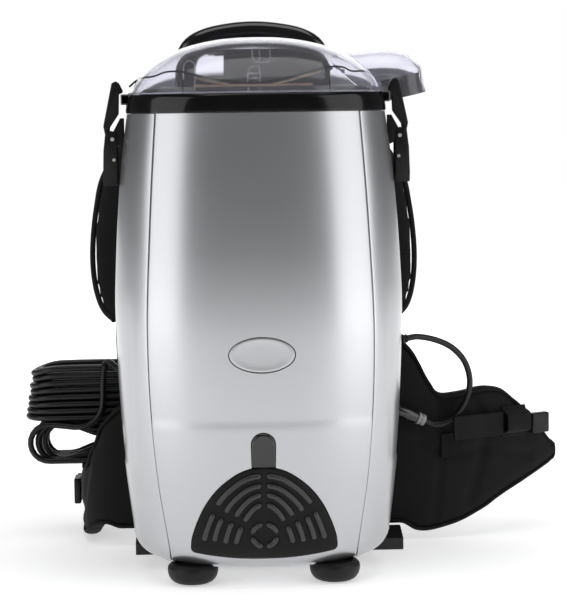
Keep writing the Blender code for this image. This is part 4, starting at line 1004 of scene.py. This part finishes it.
def latch_part(name, points, side, half_width, slot, body, node, bevel=0.0007, cuts=()):
    outline = [(side * x, z) for x, z in points]
    data = prism(name, outline, -0.110 - half_width, -0.110 + half_width)
    if cuts:
        data = carve(name, data, [box("cut", (min(side * a[0], side * b[0]), a[1], a[2]),
                                      (max(side * a[0], side * b[0]), b[1], b[2])) for a, b in cuts])
    piece(name, rounded(name, data, bevel, 2, 25), slot, body, [node])


def make_latches():
    hook = [
        (0.1395, 0.4085), (0.1455, 0.4090), (0.1462, 0.4200), (0.1515, 0.4480), (0.1505, 0.4530),
        (0.1425, 0.4905),
        (0.1385, 0.4925), (0.1352, 0.4905), (0.1318, 0.4835), (0.1318, 0.4812), (0.1355, 0.4795),
        (0.1362, 0.4600),
        (0.1450, 0.4470), (0.1458, 0.4380), (0.1455, 0.4300), (0.1385, 0.4200),
    ]
    lever = [
        (0.1380, 0.3895), (0.1520, 0.3895), (0.1523, 0.3990), (0.1515, 0.4240), (0.1495, 0.4405),
        (0.1450, 0.4437),
        (0.1395, 0.4420), (0.1380, 0.4300),
    ]
    bracket = [
        (0.1325, 0.4300), (0.1330, 0.4270), (0.1440, 0.4320), (0.1455, 0.4353), (0.1440, 0.4385),
        (0.1345, 0.4560),
        (0.1312, 0.4560), (0.1312, 0.4400),
    ]
    for word, side in (("left", -1), ("right", 1)):
        latch_part(f"hook_{word}_moulding", hook, side, 0.0050, "latch_black", "hook_" + word,
                   "latch_hook_" + word)
        ear = 0.0088 + 0.0003
        cuts = [((0.125, -0.110 - ear, 0.4030), (0.165, -0.110 + ear, 0.4600)),
                ((0.125, -0.110 - ear, 0.3800), (0.1475, -0.110 + ear, 0.4040))]
        latch_part(f"lever_{word}_moulding", lever, side, 0.0125, "latch_black", "lever_" + word,
                   "latch_lever_" + word, cuts=cuts)
        latch_part(f"bracket_{word}_moulding", bracket, side, 0.0088, "latch_black", "casing",
                   "latch_bracket_" + word, cuts=[((0.1335, -0.1155, 0.42), (0.1700, -0.1045, 0.47))])


# ---- cord ---------------------------------------------------------------------------------------
CONNECTOR_START = Vector((0.1770, -0.0100, 0.1310))
CONNECTOR_AXIS = Vector((-0.905, -0.150, 0.400)).normalized()
COLLAR_LENGTH, CONNECTOR_LENGTH = 0.009, 0.064
HANK_Y = 0.075                 # middle of the hank
HANK_RIGHT = -0.042            # centre of its hidden right-hand ends


def length_of(points):
    return sum((b - a).length for a, b in zip(points, points[1:]))


def turned_piece(profile, start, axis, sides=40):
    """Revolve (radius, distance) along an axis."""
    axis = axis.normalized()
    side = axis.orthogonal().normalized()
    up = axis.cross(side)
    rows = []
    for radius, at in profile:
        radius = max(radius, 0.0001)
        rows.append([start + axis * at + (side * math.cos(a) + up * math.sin(a)) * radius
                     for a in np.linspace(0, 2 * math.pi, sides, False)])
    return grid("turned", rows, closed=True, caps=True, angle=35)


def make_tail():
    start, direction = gland_axis()
    ribs = [(0.0, -0.0075), (0.0080, -0.0075), (0.0080, 0.0035), (0.0086, 0.0040), (0.0086, 0.0060),
            (0.0078, 0.0066)]
    for k in range(6):
        at, radius = 0.0085 + k * 0.0038, 0.0074 - k * 0.00045
        ribs += [(radius - 0.0012, at), (radius, at + 0.0006), (radius - 0.0002, at + 0.0026),
                 (radius - 0.0014, at + 0.0031)]
    ribs += [(0.0046, 0.0335), (0.0042, 0.0340), (0.0, 0.0340)]
    gland = turned_piece(ribs, start, direction)
    gland = piece("gland_boot", gland, "black_rubber", replaces=["cord_gland"])
    tip = start + direction * 0.0343
    route = through([
        tip, tip + direction * 0.012, (0.1870, -0.0240, 0.2190), (0.2050, -0.0170, 0.2100),
        (0.2190, -0.0110, 0.1950), (0.2255, -0.0070, 0.1760), (0.2240, -0.0050, 0.1580),
        (0.2150, -0.0055, 0.1405), (0.2010, -0.0070, 0.1285), CONNECTOR_START - CONNECTOR_AXIS * 0.012,
        CONNECTOR_START - CONNECTOR_AXIS * 0.0003,
    ], 0.005)
    tail = piece("short_lead", curve("short_lead", route, CORD_RADIUS, 5), "cord_black",
                 replaces=["cord_tail"])
    collar = turned_piece([(0.0035, 0.0), (0.0058, 0.0003), (0.0061, 0.0012), (0.0062, 0.0044),
                           (0.0058, 0.0048),
                           (0.0058, 0.0056), (0.0063, 0.0060), (0.0064, 0.0086), (0.0060, 0.0090),
                           (0.003, 0.0090)],
                          CONNECTOR_START, CONNECTOR_AXIS)
    collar = piece("lead_collar", collar, "collar_grey", replaces=["connector_collar"])
    body = turned_piece([(0.003, 0.0), (0.0060, 0.0002), (0.0066, 0.0012), (0.0066, 0.030), (0.0062, 0.0306),
                         (0.0062, 0.0318), (0.0066, 0.0324), (0.0063, 0.050), (0.0056, 0.060),
                         (0.0050, 0.0636),
                         (0.003, 0.0640)], CONNECTOR_START + CONNECTOR_AXIS * (COLLAR_LENGTH + 0.0003),
                         CONNECTOR_AXIS)
    body = piece("lead_connector", body, "black_gloss", replaces=["cord_connector"])


def upright_laps():
    """Laps of the hank's lower part, whose folds stand upright; each goes one layer further back."""
    pitch = 0.00665
    first = HANK_Y - 4 * pitch
    middle, turn = 0.1052, 0.0200
    spread = [0.0200, 0.0133, 0.0067, 0.0133, 0.0200, 0.0133, 0.0067, 0.0133, 0.0200]
    left = [-0.2265, -0.2190, -0.2120, -0.2160, -0.2200, -0.2150, -0.2120, -0.2170, -0.2220]
    points = []
    for k in range(9):
        y = first + k * pitch
        ahead = min(k + 1, 8)
        next_y = first + ahead * pitch
        for t in np.linspace(0, math.pi, 15):
            points.append((left[k] - turn * math.sin(t), y, middle + turn * math.cos(t)))
        for s in np.linspace(0.06, 1.0, 12):
            x = left[k] + (HANK_RIGHT - left[k]) * s
            half = turn + (spread[k] - turn) * (step(0.0, 0.26, s) - step(0.74, 1.0, s))
            points.append((x, y, middle - float(half)))
        for t in np.linspace(0, math.pi, 13)[1:]:
            points.append((HANK_RIGHT + turn * math.sin(t), y + (next_y - y) * float(step(0, math.pi, t)),
                           middle - turn * math.cos(t)))
        if k == 8:
            break
        for s in np.linspace(0.94, 0.06, 11):
            x = left[ahead] + (HANK_RIGHT - left[ahead]) * s
            half = turn + (spread[ahead] - turn) * (step(0.0, 0.26, s) - step(0.74, 1.0, s))
            points.append((x, next_y, middle + float(half)))
    return points


LAP_OUTER = 0.0266  # middle of the upper laps' outer and inner turns, from the middle of the hank
LAP_INNER = 0.0200
LEVELS = 8
LEVEL_LOWEST = 0.1320
LEVEL_RISE = 0.00776


def level_laps():
    """Laps of the upper part: a flat fold on each level, out and in by turns, fanned where they show."""
    raw = []
    state = LAP_OUTER
    for level in range(LEVELS):
        for lap in range(2):
            other = LAP_INNER if state == LAP_OUTER else LAP_OUTER
            raw += [("back", level, state), ("left", level, state), ("front", level, state)]
            if lap == 0:
                raw.append(("right", level, state, level, other))
                state = other
            elif level < LEVELS - 1:
                raw.append(("right", level, state, level + 1, state))
    points = []
    for move in raw:
        kind, level, radius = move[0], move[1], move[2]
        centre = -0.2230 + 0.0009 * level * (1 if level % 2 else 1.35)
        if kind == "back":
            for s in np.linspace(0.0, 1.0, 8):
                points.append((HANK_RIGHT + (centre - HANK_RIGHT) * s, HANK_Y + radius, level))
        elif kind == "left":
            for t in np.linspace(0, math.pi, 15)[1:-1]:
                points.append((centre - radius * math.sin(t), HANK_Y + radius * math.cos(t), level))
        elif kind == "front":
            for s in np.linspace(0.0, 1.0, 10):
                points.append((centre + (HANK_RIGHT - centre) * s, HANK_Y - radius, level))
        else:
            to_level, to_radius = move[3], move[4]
            bulge = 0.0028 if to_radius != radius else (0.0058 if radius == LAP_OUTER else 0.0)
            for t in np.linspace(0, math.pi, 15)[1:-1]:
                mix = float(step(0, math.pi, t))
                wide = radius + (to_radius - radius) * mix + bulge * math.sin(t)
                points.append((HANK_RIGHT + wide * math.sin(t), HANK_Y - (radius + (to_radius - radius) * mix)
                               * math.cos(t), level + (to_level - level) * mix))
    fanned = []
    for x, y, level in points:
        peak = LEVEL_LOWEST + level * LEVEL_RISE
        droop = (level / (LEVELS - 1)) * 0.0085 * min(max(-0.208 - x, 0) / 0.038, 1.0) ** 2
        fanned.append((x, y, peak - droop))
    return fanned


def make_lead():
    end = CONNECTOR_START + CONNECTOR_AXIS * (COLLAR_LENGTH + CONNECTOR_LENGTH + 0.0006)
    run = [
        end, end + CONNECTOR_AXIS * 0.014, (0.0760, -0.0212, 0.1690), (0.0400, -0.0212, 0.1700),
        (0.0000, -0.0212, 0.1650), (-0.0400, -0.0212, 0.1590), (-0.0800, -0.0212, 0.1590),
        (-0.1100, -0.0200, 0.1660), (-0.1330, -0.0130, 0.1780), (-0.1480, 0.0000, 0.1910),
        (-0.1570, 0.0160, 0.1970), (-0.1630, 0.0310, 0.1920), (-0.1660, 0.0400, 0.1740),
        (-0.1670, 0.0414, 0.1500), (-0.1706, 0.0414, 0.1365), (-0.1805, 0.0414, 0.1266),
        (-0.1940, 0.0418, 0.1230), (-0.2090, 0.0450, 0.1240),
    ]
    upright, level = upright_laps(), level_laps()
    climb = [(-0.080, HANK_Y + LAP_OUTER, 0.1256), (-0.120, HANK_Y + LAP_OUTER, 0.1275),
             (-0.160, HANK_Y + LAP_OUTER, 0.1303)]
    level = [p for k, p in enumerate(level) if k > 5]
    top = HANK_Y + 0.001
    finish = [(-0.034 + 0.0215 * math.sin(t), 0.0914 - 0.0215 * (1 + math.cos(t)),
               0.1863 + 0.0072 * float(step(0, math.pi, t)))
              for t in np.linspace(0, math.pi, 15)]
    finish = [(x, HANK_Y - LAP_OUTER if k == 0 else y, z) for k, (x, y, z) in enumerate(finish)]
    finish += [(-0.044, 0.0896, 0.1942), (-0.054, 0.0845, 0.1968), (-0.064, 0.0783, 0.1994),
               (-0.0737, top, 0.2003),
               (-0.0835, top, 0.2003)]
    route = [Vector(p) for p in run] + [Vector(p) for p in upright + climb + level]
    route = through(route + [Vector(p) for p in finish], 0.0062)
    lead = piece("mains_lead", curve("mains_lead", route, CORD_RADIUS, 4), "cord_black",
                 replaces=["lead_run", "lead_hank", "plug_run"])
    plug = make_plug()
    tie = make_tie()
    print("lead", round(length_of(route), 3))


def make_plug():
    """Plain three-pin plug with a ribbed grip."""
    low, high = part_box("mains_plug")
    low.x = -0.126
    body = rounded("plug", box("plug", low, high), 0.0045, 4)
    ribs = [rounded("rib",
                    box("rib", (x, low.y - 0.0004, low.z + 0.004),
                        (x + 0.0022, high.y + 0.0004, high.z - 0.004)),
                    0.0005, 2) for x in (-0.101, -0.0965, -0.092)]
    boot = curve_mesh("boot",
                      [Vector((-0.0860, 0.076, low.z + 0.010)), Vector((-0.0760, 0.076, low.z + 0.010))],
                      0.0052, 5, [1.0, 0.72])
    pins = [rounded("pin", box("pin", (low.x - 0.017, 0.076 + y - 0.0008, low.z + 0.010 + z - 0.003),
                               (low.x + 0.002, 0.076 + y + 0.0008, low.z + 0.010 + z + 0.003)), 0.0004, 2)
            for y, z in ((-0.007, 0.004), (0.007, 0.004), (0.0, -0.005))]
    plug = piece("lead_plug", join("lead_plug", [body, boot] + ribs), "black_gloss", replaces=["mains_plug"])
    pins = piece("lead_plug_pins", join("lead_plug_pins", pins), "pin_steel")
    pins.parent = plug
    pins.matrix_parent_inverse = Matrix.Identity(4)
    return plug


def make_tie():
    """Soft woven tie that follows the bundle, with its tab to the lumbar pad."""
    thick = 0.0018
    path = []
    low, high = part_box("cable_tie")
    mid = Vector((0, (0.0452 + 0.1050) / 2, (low.z + high.z) / 2))
    half_y, half_z = (0.1050 - 0.0452) / 2 + thick, (high.z - low.z) / 2 - thick / 2
    for k in range(72):
        t = 2 * math.pi * k / 72
        c, s = math.cos(t), math.sin(t)
        path.append((mid.y + half_y * math.copysign(abs(c) ** 0.35, c),
                     mid.z + half_z * math.copysign(abs(s) ** 0.35, s)))
    rows = []
    for x, grow in ((-0.0745, 0.0), (-0.0745, thick), (-0.0700, thick * 1.1), (-0.0625, thick * 0.9),
                    (-0.0550, thick * 1.1), (-0.0505, thick), (-0.0505, 0.0)):
        rows.append([Vector((x, y + grow * math.copysign(1, y - mid.y) * 0.4,
                             z + grow * math.copysign(1, z - mid.z) * 0.4))
                     for y, z in path])
    band = grid("lead_tie", rows, closed=True, angle=60)
    tab = box("tab", (-0.073, 0.0212, 0.1500), (-0.052, 0.0452, 0.1522))
    tie = piece("lead_tie", join("lead_tie", [solid("lead_tie", band, 0.0009), tab]), "webbing",
                replaces=["cable_tie"])
    return tie


# ---- padded fabric ------------------------------------------------------------------------------
def rim_weights(data, thickness):
    """1 for points on the narrow sides of a pad, 0 on its two faces."""
    bm = bmesh.new()
    bm.from_mesh(data)
    tree = BVHTree.FromBMesh(bm)
    bm.normal_update()
    rim = []
    for vert in bm.verts:
        hit = tree.ray_cast(vert.co - vert.normal * 0.0004, -vert.normal)
        rim.append(hit[0] is None or hit[3] > thickness * 1.45)
    bm.free()
    return rim


def blown(name, data, rim, pressure, cap):
    """Blow the pad up with cloth pressure, its sides held, and keep each point near where it began."""
    holder = bpy.data.objects.new(name, data)
    bpy.context.scene.collection.objects.link(holder)
    held = holder.vertex_groups.new(name="held")
    held.add([i for i, side in enumerate(rim) if side], 1.0, "REPLACE")
    cloth = holder.modifiers.new("cloth", "CLOTH")
    cloth.settings.quality = 5
    cloth.settings.mass = 0.25
    cloth.settings.tension_stiffness = 12
    cloth.settings.compression_stiffness = 12
    cloth.settings.bending_stiffness = 1.5
    cloth.settings.use_pressure = True
    cloth.settings.uniform_pressure_force = pressure
    cloth.settings.vertex_group_mass = "held"
    cloth.settings.effector_weights.gravity = 0
    cloth.collision_settings.use_collision = False
    cloth.point_cache.frame_start, cloth.point_cache.frame_end = 1, 20
    scene = bpy.context.scene
    for k in range(1, 21):
        scene.frame_set(k)
    shape = holder.evaluated_get(bpy.context.evaluated_depsgraph_get())
    after = np.array([tuple(v.co) for v in shape.data.vertices])
    holder.modifiers.remove(cloth)
    scene.frame_set(1)
    before = np.array([tuple(v.co) for v in data.vertices])
    move = after - before
    reach = np.maximum(np.linalg.norm(move, axis=1), 1e-9)
    move *= (cap * np.tanh(reach / cap) / reach)[:, None]
    data.vertices.foreach_set("co", (before + move).ravel())
    data.update()
    bpy.data.objects.remove(holder)
    return data


def pad(name, node, thickness, cap=0.0035, pressure=4.0, seams=(), voxel=0.0045):
    """Stuffed fabric form from a pad's CAD solid: smaller at first, blown up, then sewn along its seams."""
    source = frame["nodes"][node].data.copy()
    data = applied(name, source, ("REMESH", {"mode": "VOXEL", "voxel_size": voxel}),
                   ("SMOOTH", {"factor": 0.5, "iterations": 5}))
    data = blown(name, data, rim_weights(data, thickness), pressure, cap)
    normals = np.array([tuple(v.normal) for v in data.vertices])
    points = np.array([tuple(v.co) for v in data.vertices])
    for route, width, depth in seams:
        track = np.array([tuple(p) for p in through(route, 0.002)])
        for at in range(0, len(points), 400):
            part = points[at:at + 400]
            near = np.sqrt(((part[:, None, :] - track[None]) ** 2).sum(2).min(1))
            fall = np.clip(1 - (near / width) ** 2, 0, 1) ** 2
            points[at:at + 400] = part - normals[at:at + 400] * (depth * fall)[:, None]
    for i, p in enumerate(points):
        ripple = noise.noise(Vector(p) * 22) * 0.0009
        points[i] = p + normals[i] * ripple
    data.vertices.foreach_set("co", points.ravel())
    data.update()
    data = applied(name, data, ("SUBSURF", {"levels": 1, "render_levels": 1}))
    data.materials.clear()
    data.shade_smooth()
    made = piece(name, data, "padding", replaces=[node])
    return made


def strap(name, stations, slot="webbing", thick=0.0022, replaces=()):
    """Flat woven strap with thicker selvedges, through (point, across, width) stations."""
    path = through([s[0] for s in stations], 0.003)
    count = len(path)
    keys = np.linspace(0, len(stations) - 1, count)
    rows = []
    for i, p in enumerate(path):
        k = min(int(keys[i]), len(stations) - 2)
        mix = keys[i] - k
        across = (Vector(stations[k][1]) * (1 - mix) + Vector(stations[k + 1][1]) * mix).normalized()
        width = stations[k][2] * (1 - mix) + stations[k + 1][2] * mix
        ahead = (path[min(i + 1, count - 1)] - path[max(i - 1, 0)]).normalized()
        out = across.cross(ahead).normalized()
        half, t = width / 2, thick / 2
        wave = 0.00012 * math.sin(i * 1.1)
        ring = []
        for u, v in ((-1.0, 0.35), (-0.985, 0.85), (-0.93, 1.15), (-0.86, 0.95), (-0.4, 0.9), (0.4, 0.9),
                     (0.86, 0.95),
                     (0.93, 1.15), (0.985, 0.85), (1.0, 0.35), (1.0, -0.35), (0.985, -0.85), (0.93, -1.15),
                     (0.86, -0.95), (0.4, -0.9), (-0.4, -0.9), (-0.86, -0.95), (-0.93, -1.15),
                     (-0.985, -0.85),
                     (-1.0, -0.35)):
            ring.append(p + across * (u * half) + out * (v * t + wave))
        rows.append(ring)
    return piece(name, grid(name, rows, closed=True, caps=True, angle=55), slot, replaces=list(replaces))


RIGHT_WING = [
    (0.1030, 0.0090, 0.0190, 0.2150), (0.1350, 0.0090, 0.0188, 0.2190), (0.1550, 0.0090, 0.0186, 0.2160),
    (0.1680, 0.0095, 0.0100, 0.2000), (0.1800, 0.0105, 0.0090, 0.1750), (0.1920, 0.0120, 0.0110, 0.1560),
    (0.2150, 0.0160, 0.0170, 0.1570), (0.2400, 0.0230, 0.0290, 0.1620), (0.2600, 0.0310, 0.0420, 0.1600),
    (0.2800, 0.0410, 0.0520, 0.1430), (0.3000, 0.0530, 0.0620, 0.1220), (0.3160, 0.0640, 0.0700, 0.1000),
    (0.3240, 0.0700, 0.0760, 0.0920),
]
LEFT_WING = [
    (-0.1030, 0.0090, 0.0190, 0.1560), (-0.1340, 0.0090, 0.0188, 0.1540), (-0.1500, 0.0090, 0.0190, 0.1480),
    (-0.1630, 0.0110, 0.0240, 0.1340), (-0.1720, 0.0170, 0.0200, 0.1080), (-0.1780, 0.0270, 0.0120, 0.0860),
    (-0.1810, 0.0420, 0.0060, 0.0790), (-0.1840, 0.0620, 0.0040, 0.0780), (-0.1850, 0.0850, 0.0040, 0.0780),
    (-0.1830, 0.1080, 0.0060, 0.0740), (-0.1790, 0.1260, 0.0140, 0.0640),
]
WING_HALF = 0.009


def wing_point(table, at, share, lift):
    """A point on a wing: its station, its share of the height, and its lift off the mid-plane."""
    k = min(int(at), len(table) - 2)
    mix = at - k
    x, y, low, high = (a * (1 - mix) + b * mix for a, b in zip(table[k], table[k + 1]))
    before, after = table[max(k - 1, 0)], table[min(k + 2, len(table) - 1)]
    along = Vector((after[0] - before[0], after[1] - before[1], 0)).normalized()
    out = Vector((along.y, -along.x, 0))
    if table is LEFT_WING:
        out = -out
    return Vector((x, y, low + (high - low) * share)) + out * lift


def wing_edge(table, lift, inset, start=0.0):
    """Points round a wing's outline, from its root along the top, round its tip and back along the bottom."""
    last = len(table) - 1
    stations = np.linspace(start, last - 0.05, 26)
    top = [wing_point(table, s, 1.0, lift) - Vector((0, 0, inset)) for s in stations]
    bottom = [wing_point(table, s, 0.0, lift) + Vector((0, 0, inset)) for s in stations[::-1]]
    return top + bottom


def make_wings():
    ridge = [wing_point(RIGHT_WING, s, v, WING_HALF - 0.001) for s, v in
             ((6.4, 0.98), (6.9, 0.80), (7.1, 0.62), (6.9, 0.40), (6.4, 0.16))]
    cross = [wing_point(RIGHT_WING, s, v, WING_HALF - 0.001) for s, v in
             ((3.2, 0.52), (4.5, 0.55), (6.0, 0.54), (7.2, 0.50), (8.4, 0.40), (9.6, 0.34))]
    root = [wing_point(RIGHT_WING, s, v, WING_HALF - 0.001) for s,
            v in ((5.0, 0.95), (5.1, 0.6), (4.9, 0.3), (4.6, 0.06))]
    pad("belt_wing_right_pad", "belt_wing_right", 0.018,
        seams=[(ridge, 0.010, 0.0028), (cross, 0.009, 0.0030), (root, 0.008, 0.0022)])
    fold = [wing_point(LEFT_WING, s, v, WING_HALF - 0.001) for s,
            v in ((4.6, 0.85), (5.6, 0.5), (6.8, 0.35), (8.6, 0.3))]
    pad("belt_wing_left_pad", "belt_wing_left", 0.018, seams=[(fold, 0.010, 0.0028)])
    for word, table in (("right", RIGHT_WING), ("left", LEFT_WING)):
        for side, lift in (("outer", WING_HALF - 0.0022), ("inner", 0.0022 - WING_HALF)):
            route = through(wing_edge(table, lift, 0.0022), 0.004)
            piece(f"wing_{word}_{side}_piping", curve(f"wing_{word}_{side}_piping", route, 0.0017, 3),
                  "webbing")
        band = through(wing_edge(table, 0.0, 0.0002), 0.004)
        rows = []
        for i, p in enumerate(band):
            ahead = (band[min(i + 1, len(band) - 1)] - band[max(i - 1, 0)]).normalized()
            flat = Vector((ahead.x, ahead.y, 0))
            out = Vector((flat.y, -flat.x, 0)).normalized() if flat.length > 0.2 else out
            if i and out.dot(rows_out) < 0:
                out = -out
            rows_out = out
            proud = ahead.cross(out).normalized()
            if i and proud.dot(last_proud) < 0:
                proud = -proud
            last_proud = proud
            rows.append([p + out * (0.0060 * math.cos(t)) + proud * (0.0012 * math.sin(t))
                         for t in np.linspace(0, 2 * math.pi, 14, False)])
        name = f"wing_{word}_binding"
        piece(name, grid(name, rows, closed=True, caps=True, angle=70), "webbing")


def make_pads():
    for name, node, channels in (
        ("back_pad_cushion", "back_pad", [0.286, 0.333, 0.380]),
        ("lumbar_pad_cushion", "lumbar_pad", [0.070, 0.118, 0.166]),
    ):
        low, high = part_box(node)
        seams = []
        for z in channels:
            seams.append(([(low.x + 0.014, high.y - 0.001, z), (0, high.y - 0.001, z + 0.004),
                           (high.x - 0.014, high.y - 0.001, z)],
                          0.009, 0.0042))
        seams.append(([(0.0, high.y - 0.001, low.z + 0.012), (0.0, high.y - 0.001, high.z - 0.012)], 0.008,
                      0.0040))
        pad(name, node, high.y - low.y, cap=0.0045, seams=seams, voxel=0.005)
        inset = 0.0035
        route = []
        for k in range(72):
            t = 2 * math.pi * k / 72
            c, s = math.cos(t), math.sin(t)
            route.append(Vector(((high.x - inset) * math.copysign(abs(c) ** 0.28, c), high.y - 0.0046,
                                 (low.z + high.z) / 2
                                 + ((high.z - low.z) / 2 - inset) * math.copysign(abs(s) ** 0.28, s))))
        piping = curve(name + "_piping", route, 0.0018, 3, cyclic=True)
        piece(name + "_piping", piping, "webbing")


STRAP_ROUTE = [
    (0.056, 0.0300, 0.414), (0.064, 0.0420, 0.440), (0.088, 0.0560, 0.450), (0.116, 0.0680, 0.434),
    (0.136, 0.0780, 0.400), (0.144, 0.0860, 0.360), (0.148, 0.0870, 0.320), (0.148, 0.0810, 0.292),
    (0.145, 0.0680, 0.268), (0.139, 0.0480, 0.250), (0.131, 0.0300, 0.240),
]
STRAP_WIDTHS = [0.050, 0.056, 0.058, 0.058, 0.058, 0.058, 0.058, 0.058, 0.056, 0.052, 0.044]
STRAP_TILT = [0.0, -0.25, -0.45, -0.45, -0.30, -0.15, 0.0, 0.0, 0.0, 0.0, 0.0]


def make_straps():
    for word, side in (("left", -1), ("right", 1)):
        path = [Vector((side * x, y, z)) for x, y, z in STRAP_ROUTE]
        across = [Vector((1, 0, side * lean)).normalized() for lean in STRAP_TILT]
        edges = {}
        for sign in (-1, 1):
            edges[sign] = [p + a * (sign * (w / 2 - 0.0008)) for p, a, w in zip(path, across, STRAP_WIDTHS)]
        pad(f"shoulder_strap_{word}_pad", "shoulder_strap_" + word, 0.012, cap=0.0028, voxel=0.004)
        for sign, end in ((-1, "inner"), (1, "outer")):
            name = f"shoulder_strap_{word}_{end}_binding"
            piece(name, curve(name, through(edges[sign], 0.004), 0.0030, 3), "webbing")
        stations = [((side * x, y, z), (0, 0, 1), 0.024) for x, y, z in (
            (0.1280, 0.0210, 0.2400), (0.1180, 0.0090, 0.2400), (0.1090, -0.0020, 0.2410),
            (0.1000, -0.0090, 0.2420))]
        strap(f"strap_webbing_{word}_woven", stations, replaces=["strap_webbing_" + word])
        low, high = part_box("strap_adjuster_" + word)
        low, high = Vector(low), Vector(high)
        frame_box = box("ladder", low, high)
        holes = [box("hole", (low.x + 0.0022, low.y - 0.001, low.z + 0.0030),
                     (low.x + 0.0048, high.y + 0.001, high.z - 0.0030)),
                 box("hole", (low.x + 0.0064, low.y - 0.001, low.z + 0.0030),
                     (high.x - 0.0022, high.y + 0.001, high.z - 0.0030))]
        lock = rounded("ladder", carve("ladder", frame_box, holes), 0.0006, 2, 30)
        piece(f"strap_ladder_{word}", lock, "buckle_plastic", replaces=["strap_adjuster_" + word])


BELT_ALONG = Vector((0.876, 0.482, 0)).normalized()
BELT_OUT = Vector((BELT_ALONG.y, -BELT_ALONG.x, 0))
BELT_BASE = Vector((0.2720, 0.0370, 0)) + BELT_OUT * (WING_HALF + 0.0018)


def on_belt(length, depth, height):
    return BELT_BASE + BELT_ALONG * length + BELT_OUT * depth + Vector((0, 0, height))


def belt_loop(name, at, half, depth, low, high, thick, slot, replaces=()):
    """A loop of material standing off the belt: up over the webbing and down again."""
    rows = []
    for s in np.linspace(-half, half, 9):
        puff = 0.0006 * math.cos(s / half * math.pi / 2)
        ring = []
        for v, u in ((0.0004, low - 0.006), (0.0012, low - 0.001), (depth * 0.8, low + 0.0006),
                     (depth, low + 0.003),
                     (depth + puff, (low + high) / 2), (depth, high - 0.003), (depth * 0.8, high - 0.0006),
                     (0.0012, high + 0.001), (0.0004, high + 0.006)):
            ring.append(on_belt(at + s, v, u))
        rows.append(ring)
    data = solid(name, grid(name, rows, angle=60), thick, 0.0)
    return piece(name, rounded(name, data, 0.0004, 2, 40, 1), slot, replaces=list(replaces))


def make_belt_fittings():
    belt_loop("belt_keeper_loop", 0.0, 0.0155, 0.0112, 0.1125, 0.1340, 0.0018, "webbing", ["belt_keeper"])
    stations = [(on_belt(s, d, 0.1225), (0, 0, 1), 0.025) for s, d in
                ((-0.081, 0.0036), (-0.062, 0.0044), (-0.040, 0.0042), (-0.022, 0.0050), (-0.0178, 0.0050))]
    strap("belt_webbing_woven", stations, thick=0.0024, replaces=["belt_webbing_right"])
    socket = box("socket", (0, 0, 0), (1, 1, 1))
    for vert in socket.vertices:
        vert.co = on_belt(0.0185 + 0.0230 * vert.co.x, 0.0018 + 0.0090 * vert.co.y,
                          0.1085 + 0.0220 * vert.co.z)
    slit = box("slit", (0, 0, 0), (1, 1, 1))
    for vert in slit.vertices:
        vert.co = on_belt(0.0340 + 0.012 * vert.co.x, 0.0042 + 0.0040 * vert.co.y,
                          0.1120 + 0.0150 * vert.co.z)
    body = carve("socket", socket, [slit])
    piece("belt_socket", rounded("belt_socket", body, 0.0020, 3, 30), "buckle_plastic",
          replaces=["buckle_socket"])
    low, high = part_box("buckle_plug")
    low, high = Vector(low), Vector(high)
    core = rounded("plug", box("plug", (low.x, low.y, low.z), (high.x, high.y - 0.016, high.z)), 0.0014, 2)
    prongs = [rounded("prong",
                      box("prong", (low.x + 0.0015, high.y - 0.0165, z0),
                          (high.x - 0.0015, high.y, z0 + 0.0055)), 0.0010, 2)
              for z0 in (low.z + 0.001, (low.z + high.z) / 2 - 0.00275, high.z - 0.0065)]
    piece("belt_plug", join("belt_plug", [core] + prongs), "buckle_plastic", replaces=["buckle_plug"])
    patch = [(wing_point(RIGHT_WING, s, 0.62, WING_HALF + 0.0004), (0, 0, 1), 0.026) for s in (5.1, 5.5, 5.9)]
    strap("belt_patch", patch, thick=0.0022)


# ---- everything ---------------------------------------------------------------------------------
def dress():
    """Give each CAD node that is still shown the finish of its slot."""
    for entry in frame["record"]["subparts"]:
        obj = frame["nodes"].get(entry["node"])
        if obj is not None:
            obj.data.materials.clear()
            obj.data.materials.append(PAINTS[entry["material_slot"]])


make_camera()
make_studio()
PAINTS = make_materials()
make_tail()
make_lead()
dress()
make_casing()
make_rear()  # known fault: make_casing() has called it already, so its pieces are here twice
make_grille()
make_lid()
make_lid_details()  # known fault: make_lid() has called it already, so its pieces are here twice
make_neck()
make_bag()
make_feet()
make_handle()
make_latches()
make_wings()
make_pads()
make_straps()
make_belt_fittings()
